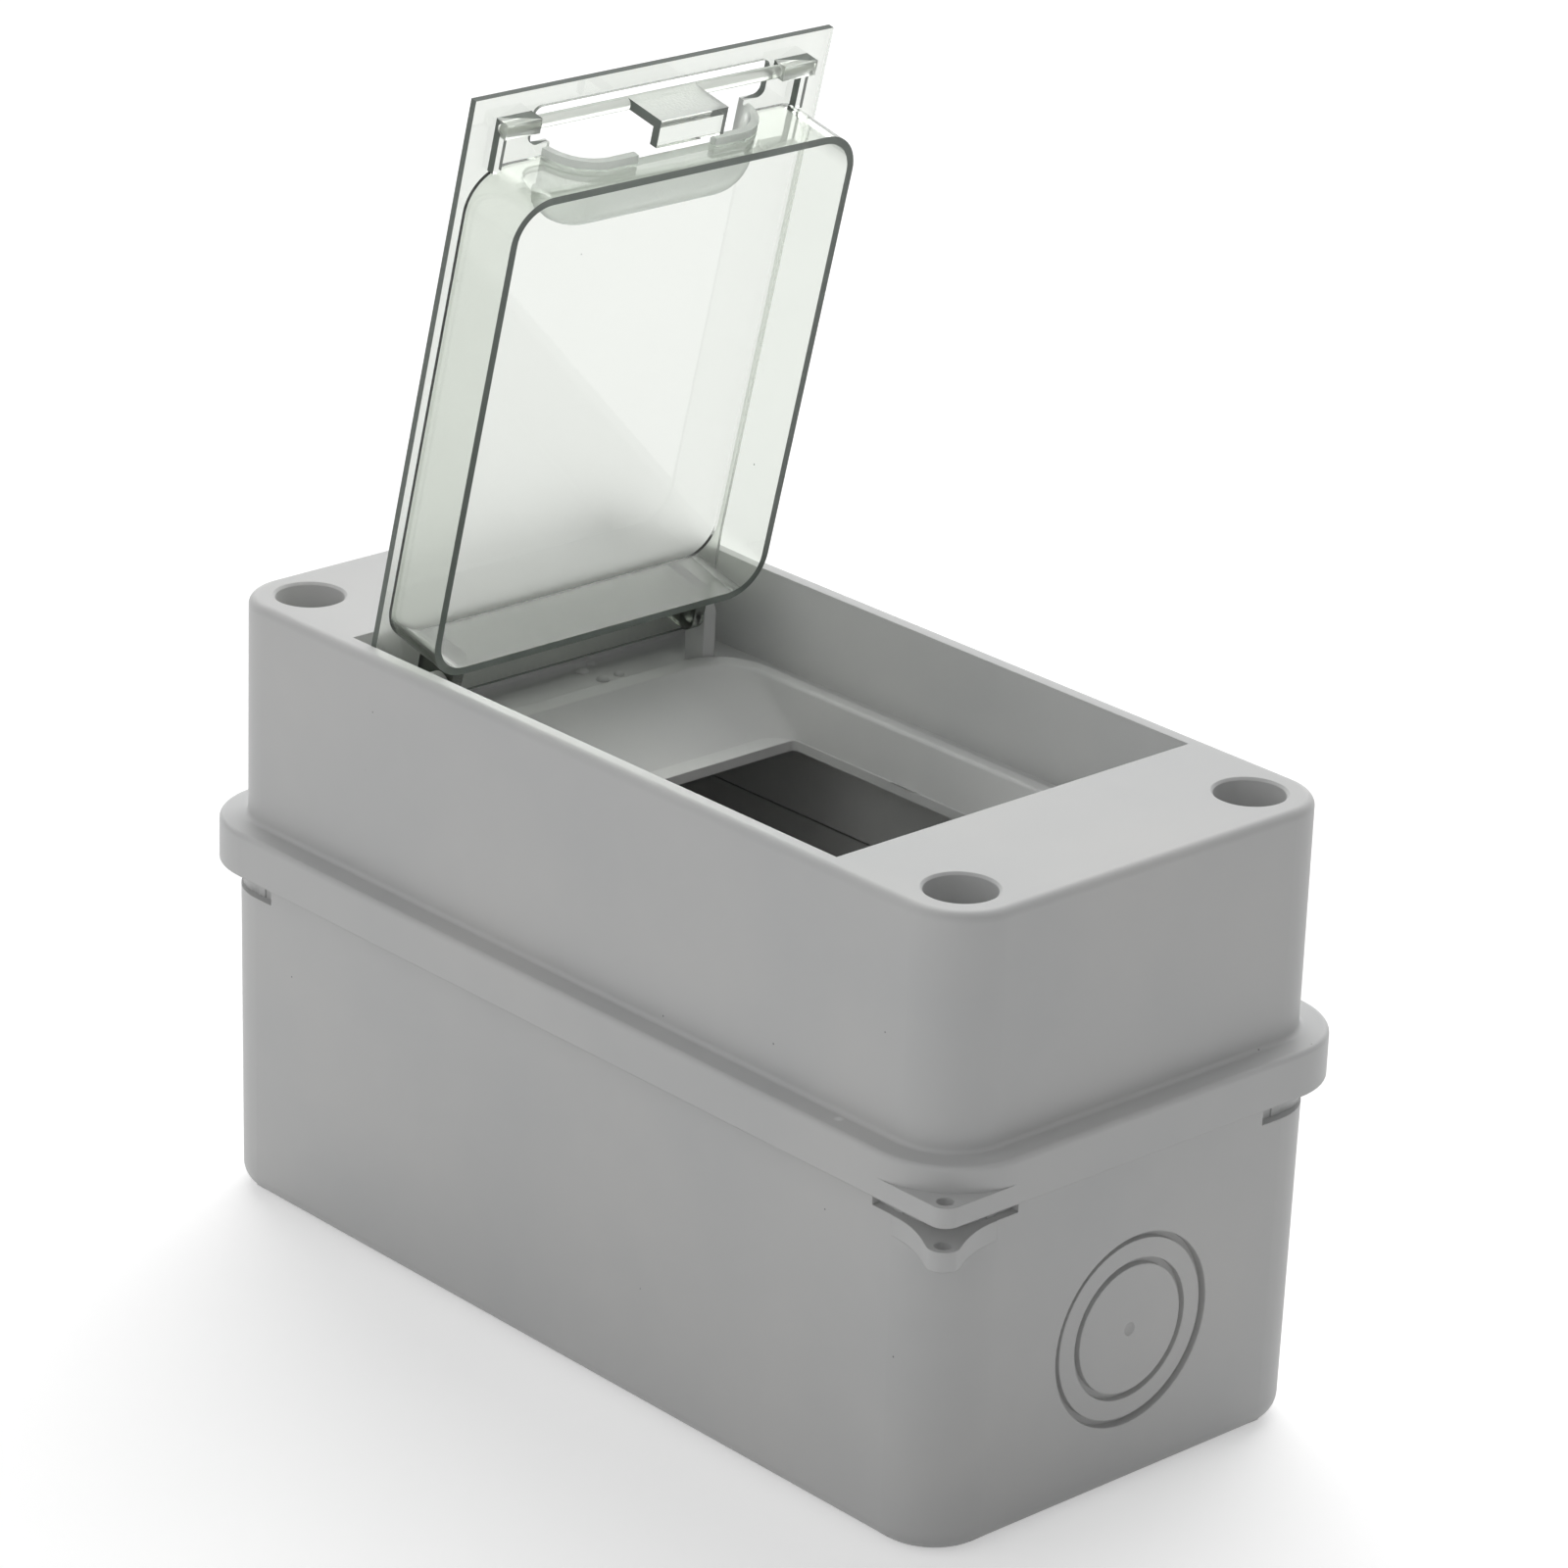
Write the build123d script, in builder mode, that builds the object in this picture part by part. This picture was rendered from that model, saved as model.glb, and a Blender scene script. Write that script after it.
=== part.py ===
from build123d import *

import os
from math import cos, radians, sin, sqrt, tan

# Distribution box for modules on a rail: a deep base, a deep cover screwed to it, and a clear
# door that hinges in a recess of the cover. Millimetres, +Z up. The origin is the middle of the
# base's back face, +X runs along the box from the door's hinge to its latch.
# The door stands open, as it is in use when the modules are reached.

# Cover
cover_length = 175.8
cover_width = 82.0
cover_corner = 10.1
cover_top = 106.8
cover_wall = 2.8
cover_skin = 2.4
cover_edge_round = 1.6

# Flange round the joint of cover and base
flange_overhang = 4.8
flange_bottom = 60.3
flange_top = 68.0
flange_round = 0.9
flange_join_round = 0.8
ledge_thickness = 2.4
skirt_wall = 3.3
skirt_clearance = 0.3

# Base
base_wall = 2.8
base_floor = 2.8
base_draft = 0.55
base_foot_round = 4.0
base_inner_round = 1.5

# Seal between the rim of the base and the cover
seal_width = 1.8
seal_height = 1.4
seal_groove = 0.4
seal_side_clearance = 0.15

# Lugs for a sealing wire at two opposite corners, and a pry pocket under the flange at all four
lug_thickness = 3.4
lug_gap = 3.9
lug_hole_radius = 1.35
lug_hole_inset = 2.4
lug_tip_round = 2.7
lug_flank_angle = 30.0
pry_height = 5.0
pry_length = 15.6
pry_depth = 1.6
pry_corner = 6.9
pry_head_room = 0.6

# Screw wells of the cover, and the posts of the base under them
well_radius = 5.75
well_wall = 2.0
well_floor = 3.0
well_mouth_chamfer = 0.4
post_radius = 5.4
post_web = 2.0
post_web_drop = 2.0

# Cover screws, their seals and the threaded inserts in the posts
screw_radius = 1.95
screw_length = 17.0
screw_head_radius = 3.8
screw_head_height = 2.6
screw_hole_clearance = 0.3
screw_end_room = 2.0
drive_width = 1.0
drive_span = 4.6
drive_depth = 1.5
washer_radius = 4.4
washer_thickness = 1.0
insert_radius = 2.9
insert_length = 8.0
insert_fit = 0.05
thread_fit = 0.05

# Recess of the cover that the door closes into
recess_length = 115.8
recess_side_wall = 3.35
recess_depth = 16.3
recess_undercut = 1.3
tub_wall = 2.2

# Pocket and window over the modules
rim_length = 93.4
rim_side_gap = 3.65
rim_end_land = 4.1
rim_side_land = 3.0
rim_height = 1.7
rim_corner = 10.5
rim_round = 0.8
pocket_side_slope = 2.1
pocket_corner = 9.0
pocket_wall = 2.0
ledge_length = 54.0
ledge_corner = 5.5
window_length = 46.4
window_drop = 6.6
window_corner = 1.0
window_lip = 1.8
window_side_step = 0.2

# Door: a plate with an open box of walls on its inside
door_angle = 76.6
door_gap = 0.35
hinge_inset = 10.15
hinge_drop = 7.4
plate_thickness = 1.2
tail_reach = 8.0
ring_start = 5.7
ring_side_inset = 1.4
ring_depth = 13.2
ring_wall = 1.35
ring_corner = 7.4
latch_strip = 12.2

# Door arms and pins, and the posts of the cover that hold them
arm_face = 25.2
arm_thickness = 2.2
arm_boss_radius = 2.4
pin_radius = 1.2
pin_fit = 0.06
arm_side_clearance = 0.3
hinge_post_thickness = 2.6
hinge_post_foot = 4.4
pin_proud = 0.2

# Finger dish of the door, with the slot beside it
dish_reach = 13.2
dish_width = 43.4
dish_depth = 8.9
dish_round = 8.3
dish_wall = 1.35
dish_lip = 1.35
dish_notch_width = 16.2
dish_notch_depth = 2.7
slot_edge_inset = 3.4
slot_span = 6.7
slot_width = 49.2
slot_corner = 1.5

# Torsion bar and latch tongue
bar_inset = 5.0
bar_depth = 2.65
bar_radius = 1.1
bar_pin_radius = 0.75
bar_fit = 0.06
bar_end_gap = 0.3
anchor_width = 2.6
anchor_length = 7.0
anchor_gap = 0.8
anchor_cap = 0.5
rib_width = 1.6
rib_height = 1.4
tongue_width = 14.0
tongue_reach = 11.2
tongue_thickness = 1.7
tongue_lip = 3.1
tongue_lip_thickness = 1.6
tongue_root = 0.4

# Keeper of the cover that the tongue hooks under
keeper_width = 13.0
keeper_thickness = 1.7
keeper_gap = 0.75
keeper_bite = 1.3
keeper_play = 0.4

# Knock-outs in both ends of the base
knockout_height = 28.0
knockout_outer_radius = 16.4
knockout_inner_radius = 12.0
knockout_sink = 0.35
knockout_groove_width = 1.1
knockout_groove_depth = 1.5
knockout_dimple_radius = 1.3
knockout_dimple_depth = 1.0

# Holes in the back for fixing to a wall
fixing_pitch_x = 124.0
fixing_pitch_y = 50.0
fixing_hole_radius = 2.4
fixing_boss_radius = 5.5
fixing_boss_height = 3.0

# Top-hat rail for the modules, across the box, on two pedestals
rail_plane = 35.2
rail_width = 35.0
rail_depth = 7.5
rail_hat_width = 27.0
rail_sheet = 1.0
rail_end_gap = 2.0
rail_slot_length = 15.0
rail_slot_width = 6.2
rail_slot_end = 12.4
pedestal_radius = 5.0
pedestal_foot_radius = 7.0
rail_screw_length = 12.0
rail_screw_end_room = 1.5

# Worked out: the joint of cover and base
well_x = cover_length / 2 - cover_corner
well_y = cover_width / 2 - cover_corner
flange_length = cover_length + 2 * flange_overhang
flange_width = cover_width + 2 * flange_overhang
flange_corner = cover_corner + flange_overhang
base_inset = skirt_wall + skirt_clearance
base_length = flange_length - 2 * base_inset
base_width = flange_width - 2 * base_inset
base_corner = flange_corner - base_inset
ceiling = flange_top - ledge_thickness
base_rim = ceiling - (seal_height - seal_groove)
seal_inset = base_wall / 2
pry_bottom = flange_bottom - pry_height
knockout_drop = base_rim - knockout_height
base_lug_top = flange_bottom - lug_gap

# Worked out: recess, pocket and window
recess_width = cover_width - 2 * recess_side_wall
recess_floor = cover_top - recess_depth
rim_top = recess_floor + rim_height
ledge_top = recess_floor - window_drop
window_bottom = ledge_top - window_lip
rim_width = recess_width - 2 * rim_side_gap
pocket_length = rim_length - 2 * rim_end_land
pocket_width = rim_width - 2 * rim_side_land
ledge_width = pocket_width - 2 * pocket_side_slope
window_width = ledge_width - 2 * window_side_step

# Worked out: the rail, with its middle slot between the two that its screws pass
rail_length = base_width - 2 * base_wall - 2 * rail_end_gap
rail_slot_pitch = rail_length / 2 - rail_slot_end

# Worked out: the door, in its own plane through the hinge, and the latch
hinge_x = hinge_inset - recess_length / 2
hinge_z = cover_top - hinge_drop
plate_end = recess_length - hinge_inset - door_gap
plate_width = recess_width - 2 * door_gap
plate_inner = hinge_drop - plate_thickness
ring_end = plate_end - latch_strip
ring_length = ring_end - ring_start
ring_width = plate_width - 2 * ring_side_inset
bar_x = plate_end - bar_inset
bar_z = hinge_drop - bar_depth
anchor_face = slot_width / 2 + anchor_gap
bar_length = 2 * (anchor_face - bar_end_gap)
bar_pin_length = 2 * (anchor_face + anchor_length - bar_end_gap)
arm_outer = arm_face + arm_thickness
hinge_post_face = arm_outer + arm_side_clearance
tongue_outer = bar_x + bar_radius
tongue_inner = tongue_outer - tongue_thickness
tongue_tip = hinge_drop - tongue_reach

door_turn = radians(door_angle)
door_along = Vector(cos(door_turn), 0, sin(door_turn))
door_out = Vector(-sin(door_turn), 0, cos(door_turn))
hinge_point = Vector(hinge_x, 0, hinge_z)
door_plane = Plane(origin=hinge_point, x_dir=door_along, z_dir=door_out)
door_side = Plane(origin=hinge_point, x_dir=door_along, z_dir=(0, -1, 0))
door_face = door_plane.offset(hinge_drop)

four_corners = [(x, y) for x in (-well_x, well_x) for y in (-well_y, well_y)]
seal_corners = [
    Location((flange_length / 2, -flange_width / 2, 0)),
    Location((-flange_length / 2, flange_width / 2, 0), (0, 0, 180)),
]


def rounded_outline(length, width, corner, height):
    """Rounded rectangle about the box's axis, at a height."""
    with BuildSketch(Plane.XY.offset(height)) as outline:
        RectangleRounded(length, width, corner)
    return outline.sketch


def ring_outline(length, width, corner, wall, height):
    """Band of a given wall inside a rounded rectangle, at a height."""
    with BuildSketch(Plane.XY.offset(height)) as band:
        RectangleRounded(length, width, corner)
        RectangleRounded(length - 2 * wall, width - 2 * wall, corner - wall, mode=Mode.SUBTRACT)
    return band.sketch


def discs(centres, radius, height):
    """One disc at each centre, at a height."""
    with BuildSketch(Plane.XY.offset(height)) as group:
        with Locations(*centres):
            Circle(radius)
    return group.sketch


def base_lug_outline():
    """Flared ear of the base at one corner, drawn with the flange's sharp corner as its origin."""
    flank = radians(lug_flank_angle)
    start = (-flange_corner, flange_corner - base_corner)
    tip_start = (-lug_tip_round * (1 + sin(flank)), lug_tip_round * (1 - cos(flank)))
    tip = lug_tip_round * (sqrt(0.5) - 1)
    tip_end = (-tip_start[1], -tip_start[0])
    end = (-start[1], -start[0])
    with BuildSketch() as ear:
        with BuildLine():
            Spline(start, tip_start, tangents=[(1, 0), (cos(flank), -sin(flank))])
            ThreePointArc(tip_start, (tip, -tip), tip_end)
            Spline(end, tip_end, tangents=[(0, -1), (sin(flank), -cos(flank))])
            Polyline(end, (-flange_corner, flange_corner), start)
        make_face()
    return ear.sketch


# Base: a drafted tub with corner posts, rail pedestals, knock-outs and wall fixings
with BuildPart() as base:
    extrude(
        rounded_outline(base_length, base_width, base_corner, base_rim),
        amount=-base_rim,
        taper=base_draft,
    )
    fillet(base.faces().sort_by(Axis.Z)[0].edges(), base_foot_round)

    # Pry pockets under the flange, cut into the outside of each corner, down to the lug where one is
    for side, pocket_bottom in ((-1, base_lug_top), (1, pry_bottom)):
        with BuildSketch(Plane.XY.offset(pocket_bottom)):
            for end in (-1, 1):
                with Locations((end * base_length / 2, end * side * base_width / 2)):
                    Rectangle(2 * pry_length, 2 * pry_length)
            RectangleRounded(
                base_length - 2 * pry_depth, base_width - 2 * pry_depth, pry_corner, mode=Mode.SUBTRACT
            )
        extrude(amount=flange_bottom + pry_head_room - pocket_bottom, mode=Mode.SUBTRACT)

    # Flared lugs for the sealing wire
    with BuildSketch(Plane.XY.offset(base_lug_top)):
        with Locations(*seal_corners):
            add(base_lug_outline())
    extrude(amount=-lug_thickness)
    with BuildSketch(Plane.XY.offset(base_lug_top)):
        with Locations(*seal_corners):
            with Locations((-lug_hole_inset, lug_hole_inset)):
                Circle(lug_hole_radius)
    extrude(amount=-lug_thickness, mode=Mode.SUBTRACT)

    # Hollow inside
    extrude(
        rounded_outline(
            base_length - 2 * base_wall, base_width - 2 * base_wall, base_corner - base_wall, base_rim
        ),
        amount=-(base_rim - base_floor),
        taper=base_draft,
        mode=Mode.SUBTRACT,
    )
    floor_face = base.faces().filter_by(Plane.XY).filter_by_position(
        Axis.Z, base_floor - 0.01, base_floor + 0.01
    )[0]
    fillet(floor_face.edges(), base_inner_round)

    # Corner posts, each held to both walls by a web
    extrude(discs(four_corners, post_radius, base_floor / 2), amount=ceiling - base_floor / 2)
    web_reach = base_corner - base_wall / 2
    with BuildSketch(Plane.XY.offset(base_floor / 2)):
        for post_x, post_y in four_corners:
            with Locations((post_x, post_y)):
                align_x = Align.MIN if post_x > 0 else Align.MAX
                align_y = Align.MIN if post_y > 0 else Align.MAX
                Rectangle(web_reach, post_web, align=(align_x, Align.CENTER))
                Rectangle(post_web, web_reach, align=(Align.CENTER, align_y))
    extrude(amount=base_rim - post_web_drop - base_floor / 2)
    extrude(
        discs(four_corners, insert_radius + insert_fit, ceiling),
        amount=-insert_length,
        mode=Mode.SUBTRACT,
    )
    screw_tip = ceiling + well_floor + washer_thickness - screw_length
    extrude(
        discs(four_corners, screw_radius + screw_hole_clearance, ceiling),
        amount=-(ceiling - screw_tip + screw_end_room),
        mode=Mode.SUBTRACT,
    )

    # Knock-outs: a slightly sunken disc with two grooves and a dimple, square to the drafted end
    draft = radians(base_draft)
    for side in (-1, 1):
        end_plane = Plane(
            origin=(side * (base_length / 2 - knockout_drop * tan(draft)), 0, knockout_height),
            x_dir=(0, side, 0),
            z_dir=(side * cos(draft), 0, -sin(draft)),
        )
        with BuildSketch(end_plane):
            Circle(knockout_outer_radius)
        extrude(amount=-knockout_sink, mode=Mode.SUBTRACT)
        for radius in (knockout_outer_radius, knockout_inner_radius):
            with BuildSketch(end_plane):
                Circle(radius)
                Circle(radius - knockout_groove_width, mode=Mode.SUBTRACT)
            extrude(amount=-knockout_groove_depth, mode=Mode.SUBTRACT)
        with Locations(end_plane.offset(knockout_dimple_radius - knockout_dimple_depth).location):
            Sphere(knockout_dimple_radius, mode=Mode.SUBTRACT)

    # Pedestals under the rail, with a pilot hole each
    rail_bottom = rail_plane - rail_depth
    pedestals = [(0, -rail_slot_pitch), (0, rail_slot_pitch)]
    for pedestal in pedestals:
        loft(
            [
                *discs([pedestal], pedestal_foot_radius, base_floor / 2).faces(),
                *discs([pedestal], pedestal_radius, rail_bottom).faces(),
            ]
        )
    extrude(
        discs(pedestals, screw_radius + thread_fit, rail_bottom),
        amount=-(rail_screw_length - rail_sheet + rail_screw_end_room),
        mode=Mode.SUBTRACT,
    )

    # Wall fixings
    with BuildSketch(Plane.XY.offset(base_floor / 2)):
        with GridLocations(fixing_pitch_x, fixing_pitch_y, 2, 2):
            Circle(fixing_boss_radius)
    extrude(amount=base_floor / 2 + fixing_boss_height)
    with BuildSketch(Plane.XY):
        with GridLocations(fixing_pitch_x, fixing_pitch_y, 2, 2):
            Circle(fixing_hole_radius)
    extrude(amount=base_floor + fixing_boss_height, mode=Mode.SUBTRACT)

# Seal: a cord of rectangular section on the rim of the base
with BuildPart() as cover_seal:
    seal_reach = base_inset + seal_inset - seal_width / 2
    extrude(
        ring_outline(
            flange_length - 2 * seal_reach,
            flange_width - 2 * seal_reach,
            flange_corner - seal_reach,
            seal_width,
            base_rim,
        ),
        amount=seal_height,
    )

# Profile of a hinge post, seen from the side
with BuildSketch(Plane.XZ) as hinge_post:
    with BuildLine():
        Polyline(
            (hinge_x - hinge_post_foot / 2, recess_floor - tub_wall / 2),
            (hinge_x + hinge_post_foot / 2, recess_floor - tub_wall / 2),
            (hinge_x + arm_boss_radius, hinge_z),
            (hinge_x - arm_boss_radius, hinge_z),
            close=True,
        )
    make_face()
    with Locations((hinge_x, hinge_z)):
        Circle(arm_boss_radius)
        Circle(pin_radius + pin_fit, mode=Mode.SUBTRACT)

# Cover: flange and skirt, then the deep shell with its recess, pocket, window and screw wells
with BuildPart() as cover:
    extrude(
        rounded_outline(flange_length, flange_width, flange_corner, flange_bottom),
        amount=flange_top - flange_bottom,
    )
    fillet(cover.faces().sort_by(Axis.Z)[-1].edges(), flange_round)
    with BuildSketch(Plane.XY.offset(flange_bottom)) as cover_lugs:
        with Locations(*seal_corners):
            Rectangle(flange_corner, flange_corner, align=(Align.MAX, Align.MIN))
        lug_tips = cover_lugs.vertices().filter_by(
            lambda tip: abs(tip.X) > flange_length / 2 - 0.01 and abs(tip.Y) > flange_width / 2 - 0.01
        )
        fillet(lug_tips, lug_tip_round)
    extrude(amount=lug_thickness)
    extrude(rounded_outline(cover_length, cover_width, cover_corner, ceiling), amount=cover_top - ceiling)
    fillet(cover.faces().sort_by(Axis.Z)[-1].edges(), cover_edge_round)
    ledge = cover.faces().filter_by(Plane.XY).filter_by_position(
        Axis.Z, flange_top - 0.01, flange_top + 0.01
    )[0]
    fillet(ledge.inner_wires()[0].edges(), flange_join_round)

    # Skirt that reaches over the base, and the groove that the seal lies in
    extrude(
        rounded_outline(
            base_length + 2 * skirt_clearance,
            base_width + 2 * skirt_clearance,
            base_corner + skirt_clearance,
            flange_bottom,
        ),
        amount=ceiling - flange_bottom,
        mode=Mode.SUBTRACT,
    )
    groove_reach = seal_reach - seal_side_clearance
    extrude(
        ring_outline(
            flange_length - 2 * groove_reach,
            flange_width - 2 * groove_reach,
            flange_corner - groove_reach,
            seal_width + 2 * seal_side_clearance,
            ceiling,
        ),
        amount=seal_groove,
        mode=Mode.SUBTRACT,
    )
    with BuildSketch(Plane.XY.offset(flange_bottom)):
        with Locations(*seal_corners):
            with Locations((-lug_hole_inset, lug_hole_inset)):
                Circle(lug_hole_radius)
    extrude(amount=lug_thickness, mode=Mode.SUBTRACT)

    # Hollow inside, with the tubes of the screw wells left standing in its corners
    skin_bottom = cover_top - cover_skin
    hollow_length = cover_length - 2 * cover_wall
    hollow_width = cover_width - 2 * cover_wall
    with BuildSketch(Plane.XY.offset(ceiling)):
        RectangleRounded(hollow_length, hollow_width, cover_corner - cover_wall)
        with Locations(*four_corners):
            Circle(well_radius + well_wall, mode=Mode.SUBTRACT)
    extrude(amount=skin_bottom - ceiling, mode=Mode.SUBTRACT)

    # Tub that makes the floor and ends of the recess
    tub_start = -recess_length / 2 - recess_undercut - tub_wall
    tub_end = recess_length / 2 + tub_wall
    with BuildSketch(Plane.XY.offset(recess_floor - tub_wall)):
        with Locations(((tub_start + tub_end) / 2, 0)):
            Rectangle(tub_end - tub_start, hollow_width + cover_wall)
    extrude(amount=skin_bottom + cover_skin / 2 - recess_floor + tub_wall)

    # Shell of the funnel under it
    loft(
        [
            *rounded_outline(
                pocket_length + 2 * pocket_wall,
                pocket_width + 2 * pocket_wall,
                pocket_corner + pocket_wall,
                recess_floor - tub_wall / 2,
            ).faces(),
            *rounded_outline(
                ledge_length + 2 * pocket_wall,
                ledge_width + 2 * pocket_wall,
                ledge_corner + pocket_wall,
                window_bottom,
            ).faces(),
        ]
    )

    # Recess, undercut below the top at the hinge end for the door's tail
    with BuildSketch(Plane.XY.offset(recess_floor)):
        Rectangle(recess_length, recess_width)
    extrude(amount=recess_depth, mode=Mode.SUBTRACT)
    with BuildSketch(Plane.XY.offset(recess_floor)):
        with Locations((-recess_length / 2, 0)):
            Rectangle(2 * recess_undercut, recess_width)
    extrude(amount=skin_bottom - recess_floor, mode=Mode.SUBTRACT)

    # Raised rim round the pocket, the sloped pocket and the window
    extrude(
        rounded_outline(rim_length, rim_width, rim_corner, recess_floor - tub_wall / 2),
        amount=rim_height + tub_wall / 2,
    )
    loft(
        [
            *rounded_outline(pocket_length, pocket_width, pocket_corner, rim_top).faces(),
            *rounded_outline(ledge_length, ledge_width, ledge_corner, ledge_top).faces(),
        ],
        mode=Mode.SUBTRACT,
    )
    rim_face = cover.faces().filter_by(Plane.XY).filter_by_position(
        Axis.Z, rim_top - 0.01, rim_top + 0.01
    )[0]
    fillet(rim_face.edges(), rim_round)
    extrude(
        rounded_outline(window_length, window_width, window_corner, ledge_top),
        amount=-2 * window_lip,
        mode=Mode.SUBTRACT,
    )

    # Screw wells
    well_floor_top = ceiling + well_floor
    extrude(
        discs(four_corners, well_radius, well_floor_top),
        amount=cover_top - well_floor_top,
        mode=Mode.SUBTRACT,
    )
    mouths = cover.edges().filter_by(GeomType.CIRCLE).filter_by_position(
        Axis.Z, cover_top - 0.01, cover_top + 0.01
    )
    chamfer(mouths.filter_by(lambda rim: abs(rim.radius - well_radius) < 0.01), well_mouth_chamfer)
    extrude(
        discs(four_corners, screw_radius + screw_hole_clearance, ceiling),
        amount=well_floor,
        mode=Mode.SUBTRACT,
    )

    # Posts for the hinge pins
    for side in (-1, 1):
        post_sketch = hinge_post.sketch.moved(
            Location((0, side * (hinge_post_face + hinge_post_thickness / 2), 0))
        )
        extrude(post_sketch, amount=hinge_post_thickness / 2, both=True)

    # Keeper, a hook on the floor of the recess at the latch end
    keeper_start = hinge_x + ring_end + keeper_gap
    keeper_low = hinge_z + tongue_tip + tongue_lip_thickness + keeper_play
    keeper_tip = hinge_x + tongue_inner - tongue_lip + keeper_bite
    with BuildSketch(Plane.XZ):
        with BuildLine():
            Polyline(
                (keeper_start, recess_floor - tub_wall / 2),
                (keeper_start + keeper_thickness, recess_floor - tub_wall / 2),
                (keeper_start + keeper_thickness, keeper_low),
                (keeper_tip, keeper_low),
                (keeper_start + keeper_thickness, keeper_low + keeper_thickness),
                (keeper_start, keeper_low + keeper_thickness),
                close=True,
            )
        make_face()
    extrude(amount=keeper_width / 2, both=True)

# Finger dish of the door, outside and inside, each a rounded scoop open at its latch end
dish_start = ring_end - dish_reach
dish_end = ring_end + dish_lip
slot_start = plate_end - slot_edge_inset - slot_span
with BuildPart() as dish_outer:
    with BuildSketch(door_face):
        with Locations((dish_start, 0)):
            Rectangle(dish_end - dish_start, dish_width, align=(Align.MIN, Align.CENTER))
    extrude(amount=-dish_depth)
    dish_top = dish_outer.faces().sort_by(Axis(hinge_point, door_out))[-1]
    dish_mouth = dish_outer.faces().sort_by(Axis(hinge_point, door_along))[-1]
    fillet(dish_outer.edges() - dish_top.edges() - dish_mouth.edges(), dish_round)

with BuildPart() as dish_inner:
    with BuildSketch(door_face.offset(plate_thickness)):
        with Locations((dish_start + dish_wall, 0)):
            Rectangle(
                slot_start + slot_corner - dish_start - dish_wall,
                dish_width - 2 * dish_wall,
                align=(Align.MIN, Align.CENTER),
            )
    extrude(amount=-(dish_depth - dish_wall + plate_thickness))
    hollow_top = dish_inner.faces().sort_by(Axis(hinge_point, door_out))[-1]
    hollow_mouth = dish_inner.faces().sort_by(Axis(hinge_point, door_along))[-1]
    fillet(dish_inner.edges() - hollow_top.edges() - hollow_mouth.edges(), dish_round - dish_wall)

# Profiles of a door arm and its pin, seen from the side
with BuildSketch(door_side) as arm:
    with Locations((-arm_boss_radius, 0)):
        Rectangle(
            ring_start + ring_wall / 2 + arm_boss_radius,
            plate_inner + plate_thickness / 2,
            align=(Align.MIN, Align.MIN),
        )
    with Locations((0, -arm_boss_radius)):
        Rectangle(ring_start + ring_wall / 2, 2 * arm_boss_radius, align=(Align.MIN, Align.MIN))
    Circle(arm_boss_radius)
with BuildSketch(door_side) as pin:
    Circle(pin_radius)

# Door: plate, box of walls, finger dish, slot, anchors of the torsion bar, arms and pins
with BuildPart() as door:
    with BuildSketch(door_face):
        with Locations(((plate_end - tail_reach) / 2, 0)):
            Rectangle(plate_end + tail_reach, plate_width)
    extrude(amount=-plate_thickness)
    with BuildSketch(door_face):
        with Locations(((ring_start + ring_end) / 2, 0)):
            RectangleRounded(ring_length, ring_width, ring_corner)
            RectangleRounded(
                ring_length - 2 * ring_wall,
                ring_width - 2 * ring_wall,
                ring_corner - ring_wall,
                mode=Mode.SUBTRACT,
            )
    extrude(amount=-ring_depth)
    add(dish_outer.part)
    add(dish_inner.part, mode=Mode.SUBTRACT)
    with BuildSketch(door_face.offset(dish_notch_depth - dish_depth)):
        with Locations((ring_end, 0)):
            Rectangle(2 * dish_lip, dish_notch_width, align=(Align.MIN, Align.CENTER))
    extrude(amount=-2 * dish_notch_depth, mode=Mode.SUBTRACT)
    with BuildSketch(door_face):
        with Locations((slot_start + slot_span / 2, 0)):
            RectangleRounded(slot_span, slot_width, slot_corner)
    extrude(amount=-plate_thickness, mode=Mode.SUBTRACT)

    # Anchors of the bar, and the ribs that carry them back to the walls
    anchor_depth = bar_depth + bar_pin_radius + bar_fit + anchor_cap
    for side in (-1, 1):
        anchor_middle = side * (anchor_face + anchor_length / 2)
        with BuildSketch(door_face):
            with Locations((bar_x, anchor_middle)):
                Rectangle(anchor_width, anchor_length)
        extrude(amount=-anchor_depth)
        rib_middle = side * (anchor_face + anchor_length - rib_width / 2)
        with BuildSketch(door_face):
            with Locations((ring_end - ring_wall / 2, rib_middle)):
                Rectangle(bar_x - ring_end, rib_width, align=(Align.MIN, Align.CENTER))
        extrude(amount=-(plate_thickness + rib_height))
    with BuildSketch(door_side):
        with Locations((bar_x, bar_z)):
            Circle(bar_pin_radius + bar_fit)
    extrude(amount=bar_pin_length / 2 + bar_end_gap, both=True, mode=Mode.SUBTRACT)

    # Arms and hinge pins
    pin_end = hinge_post_face + hinge_post_thickness + pin_proud
    for side in (-1, 1):
        extrude(
            arm.sketch.moved(Location((0, side * (arm_face + arm_thickness / 2), 0))),
            amount=arm_thickness / 2,
            both=True,
        )
        extrude(
            pin.sketch.moved(Location((0, side * (arm_face + pin_end) / 2, 0))),
            amount=(pin_end - arm_face) / 2,
            both=True,
        )

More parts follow.
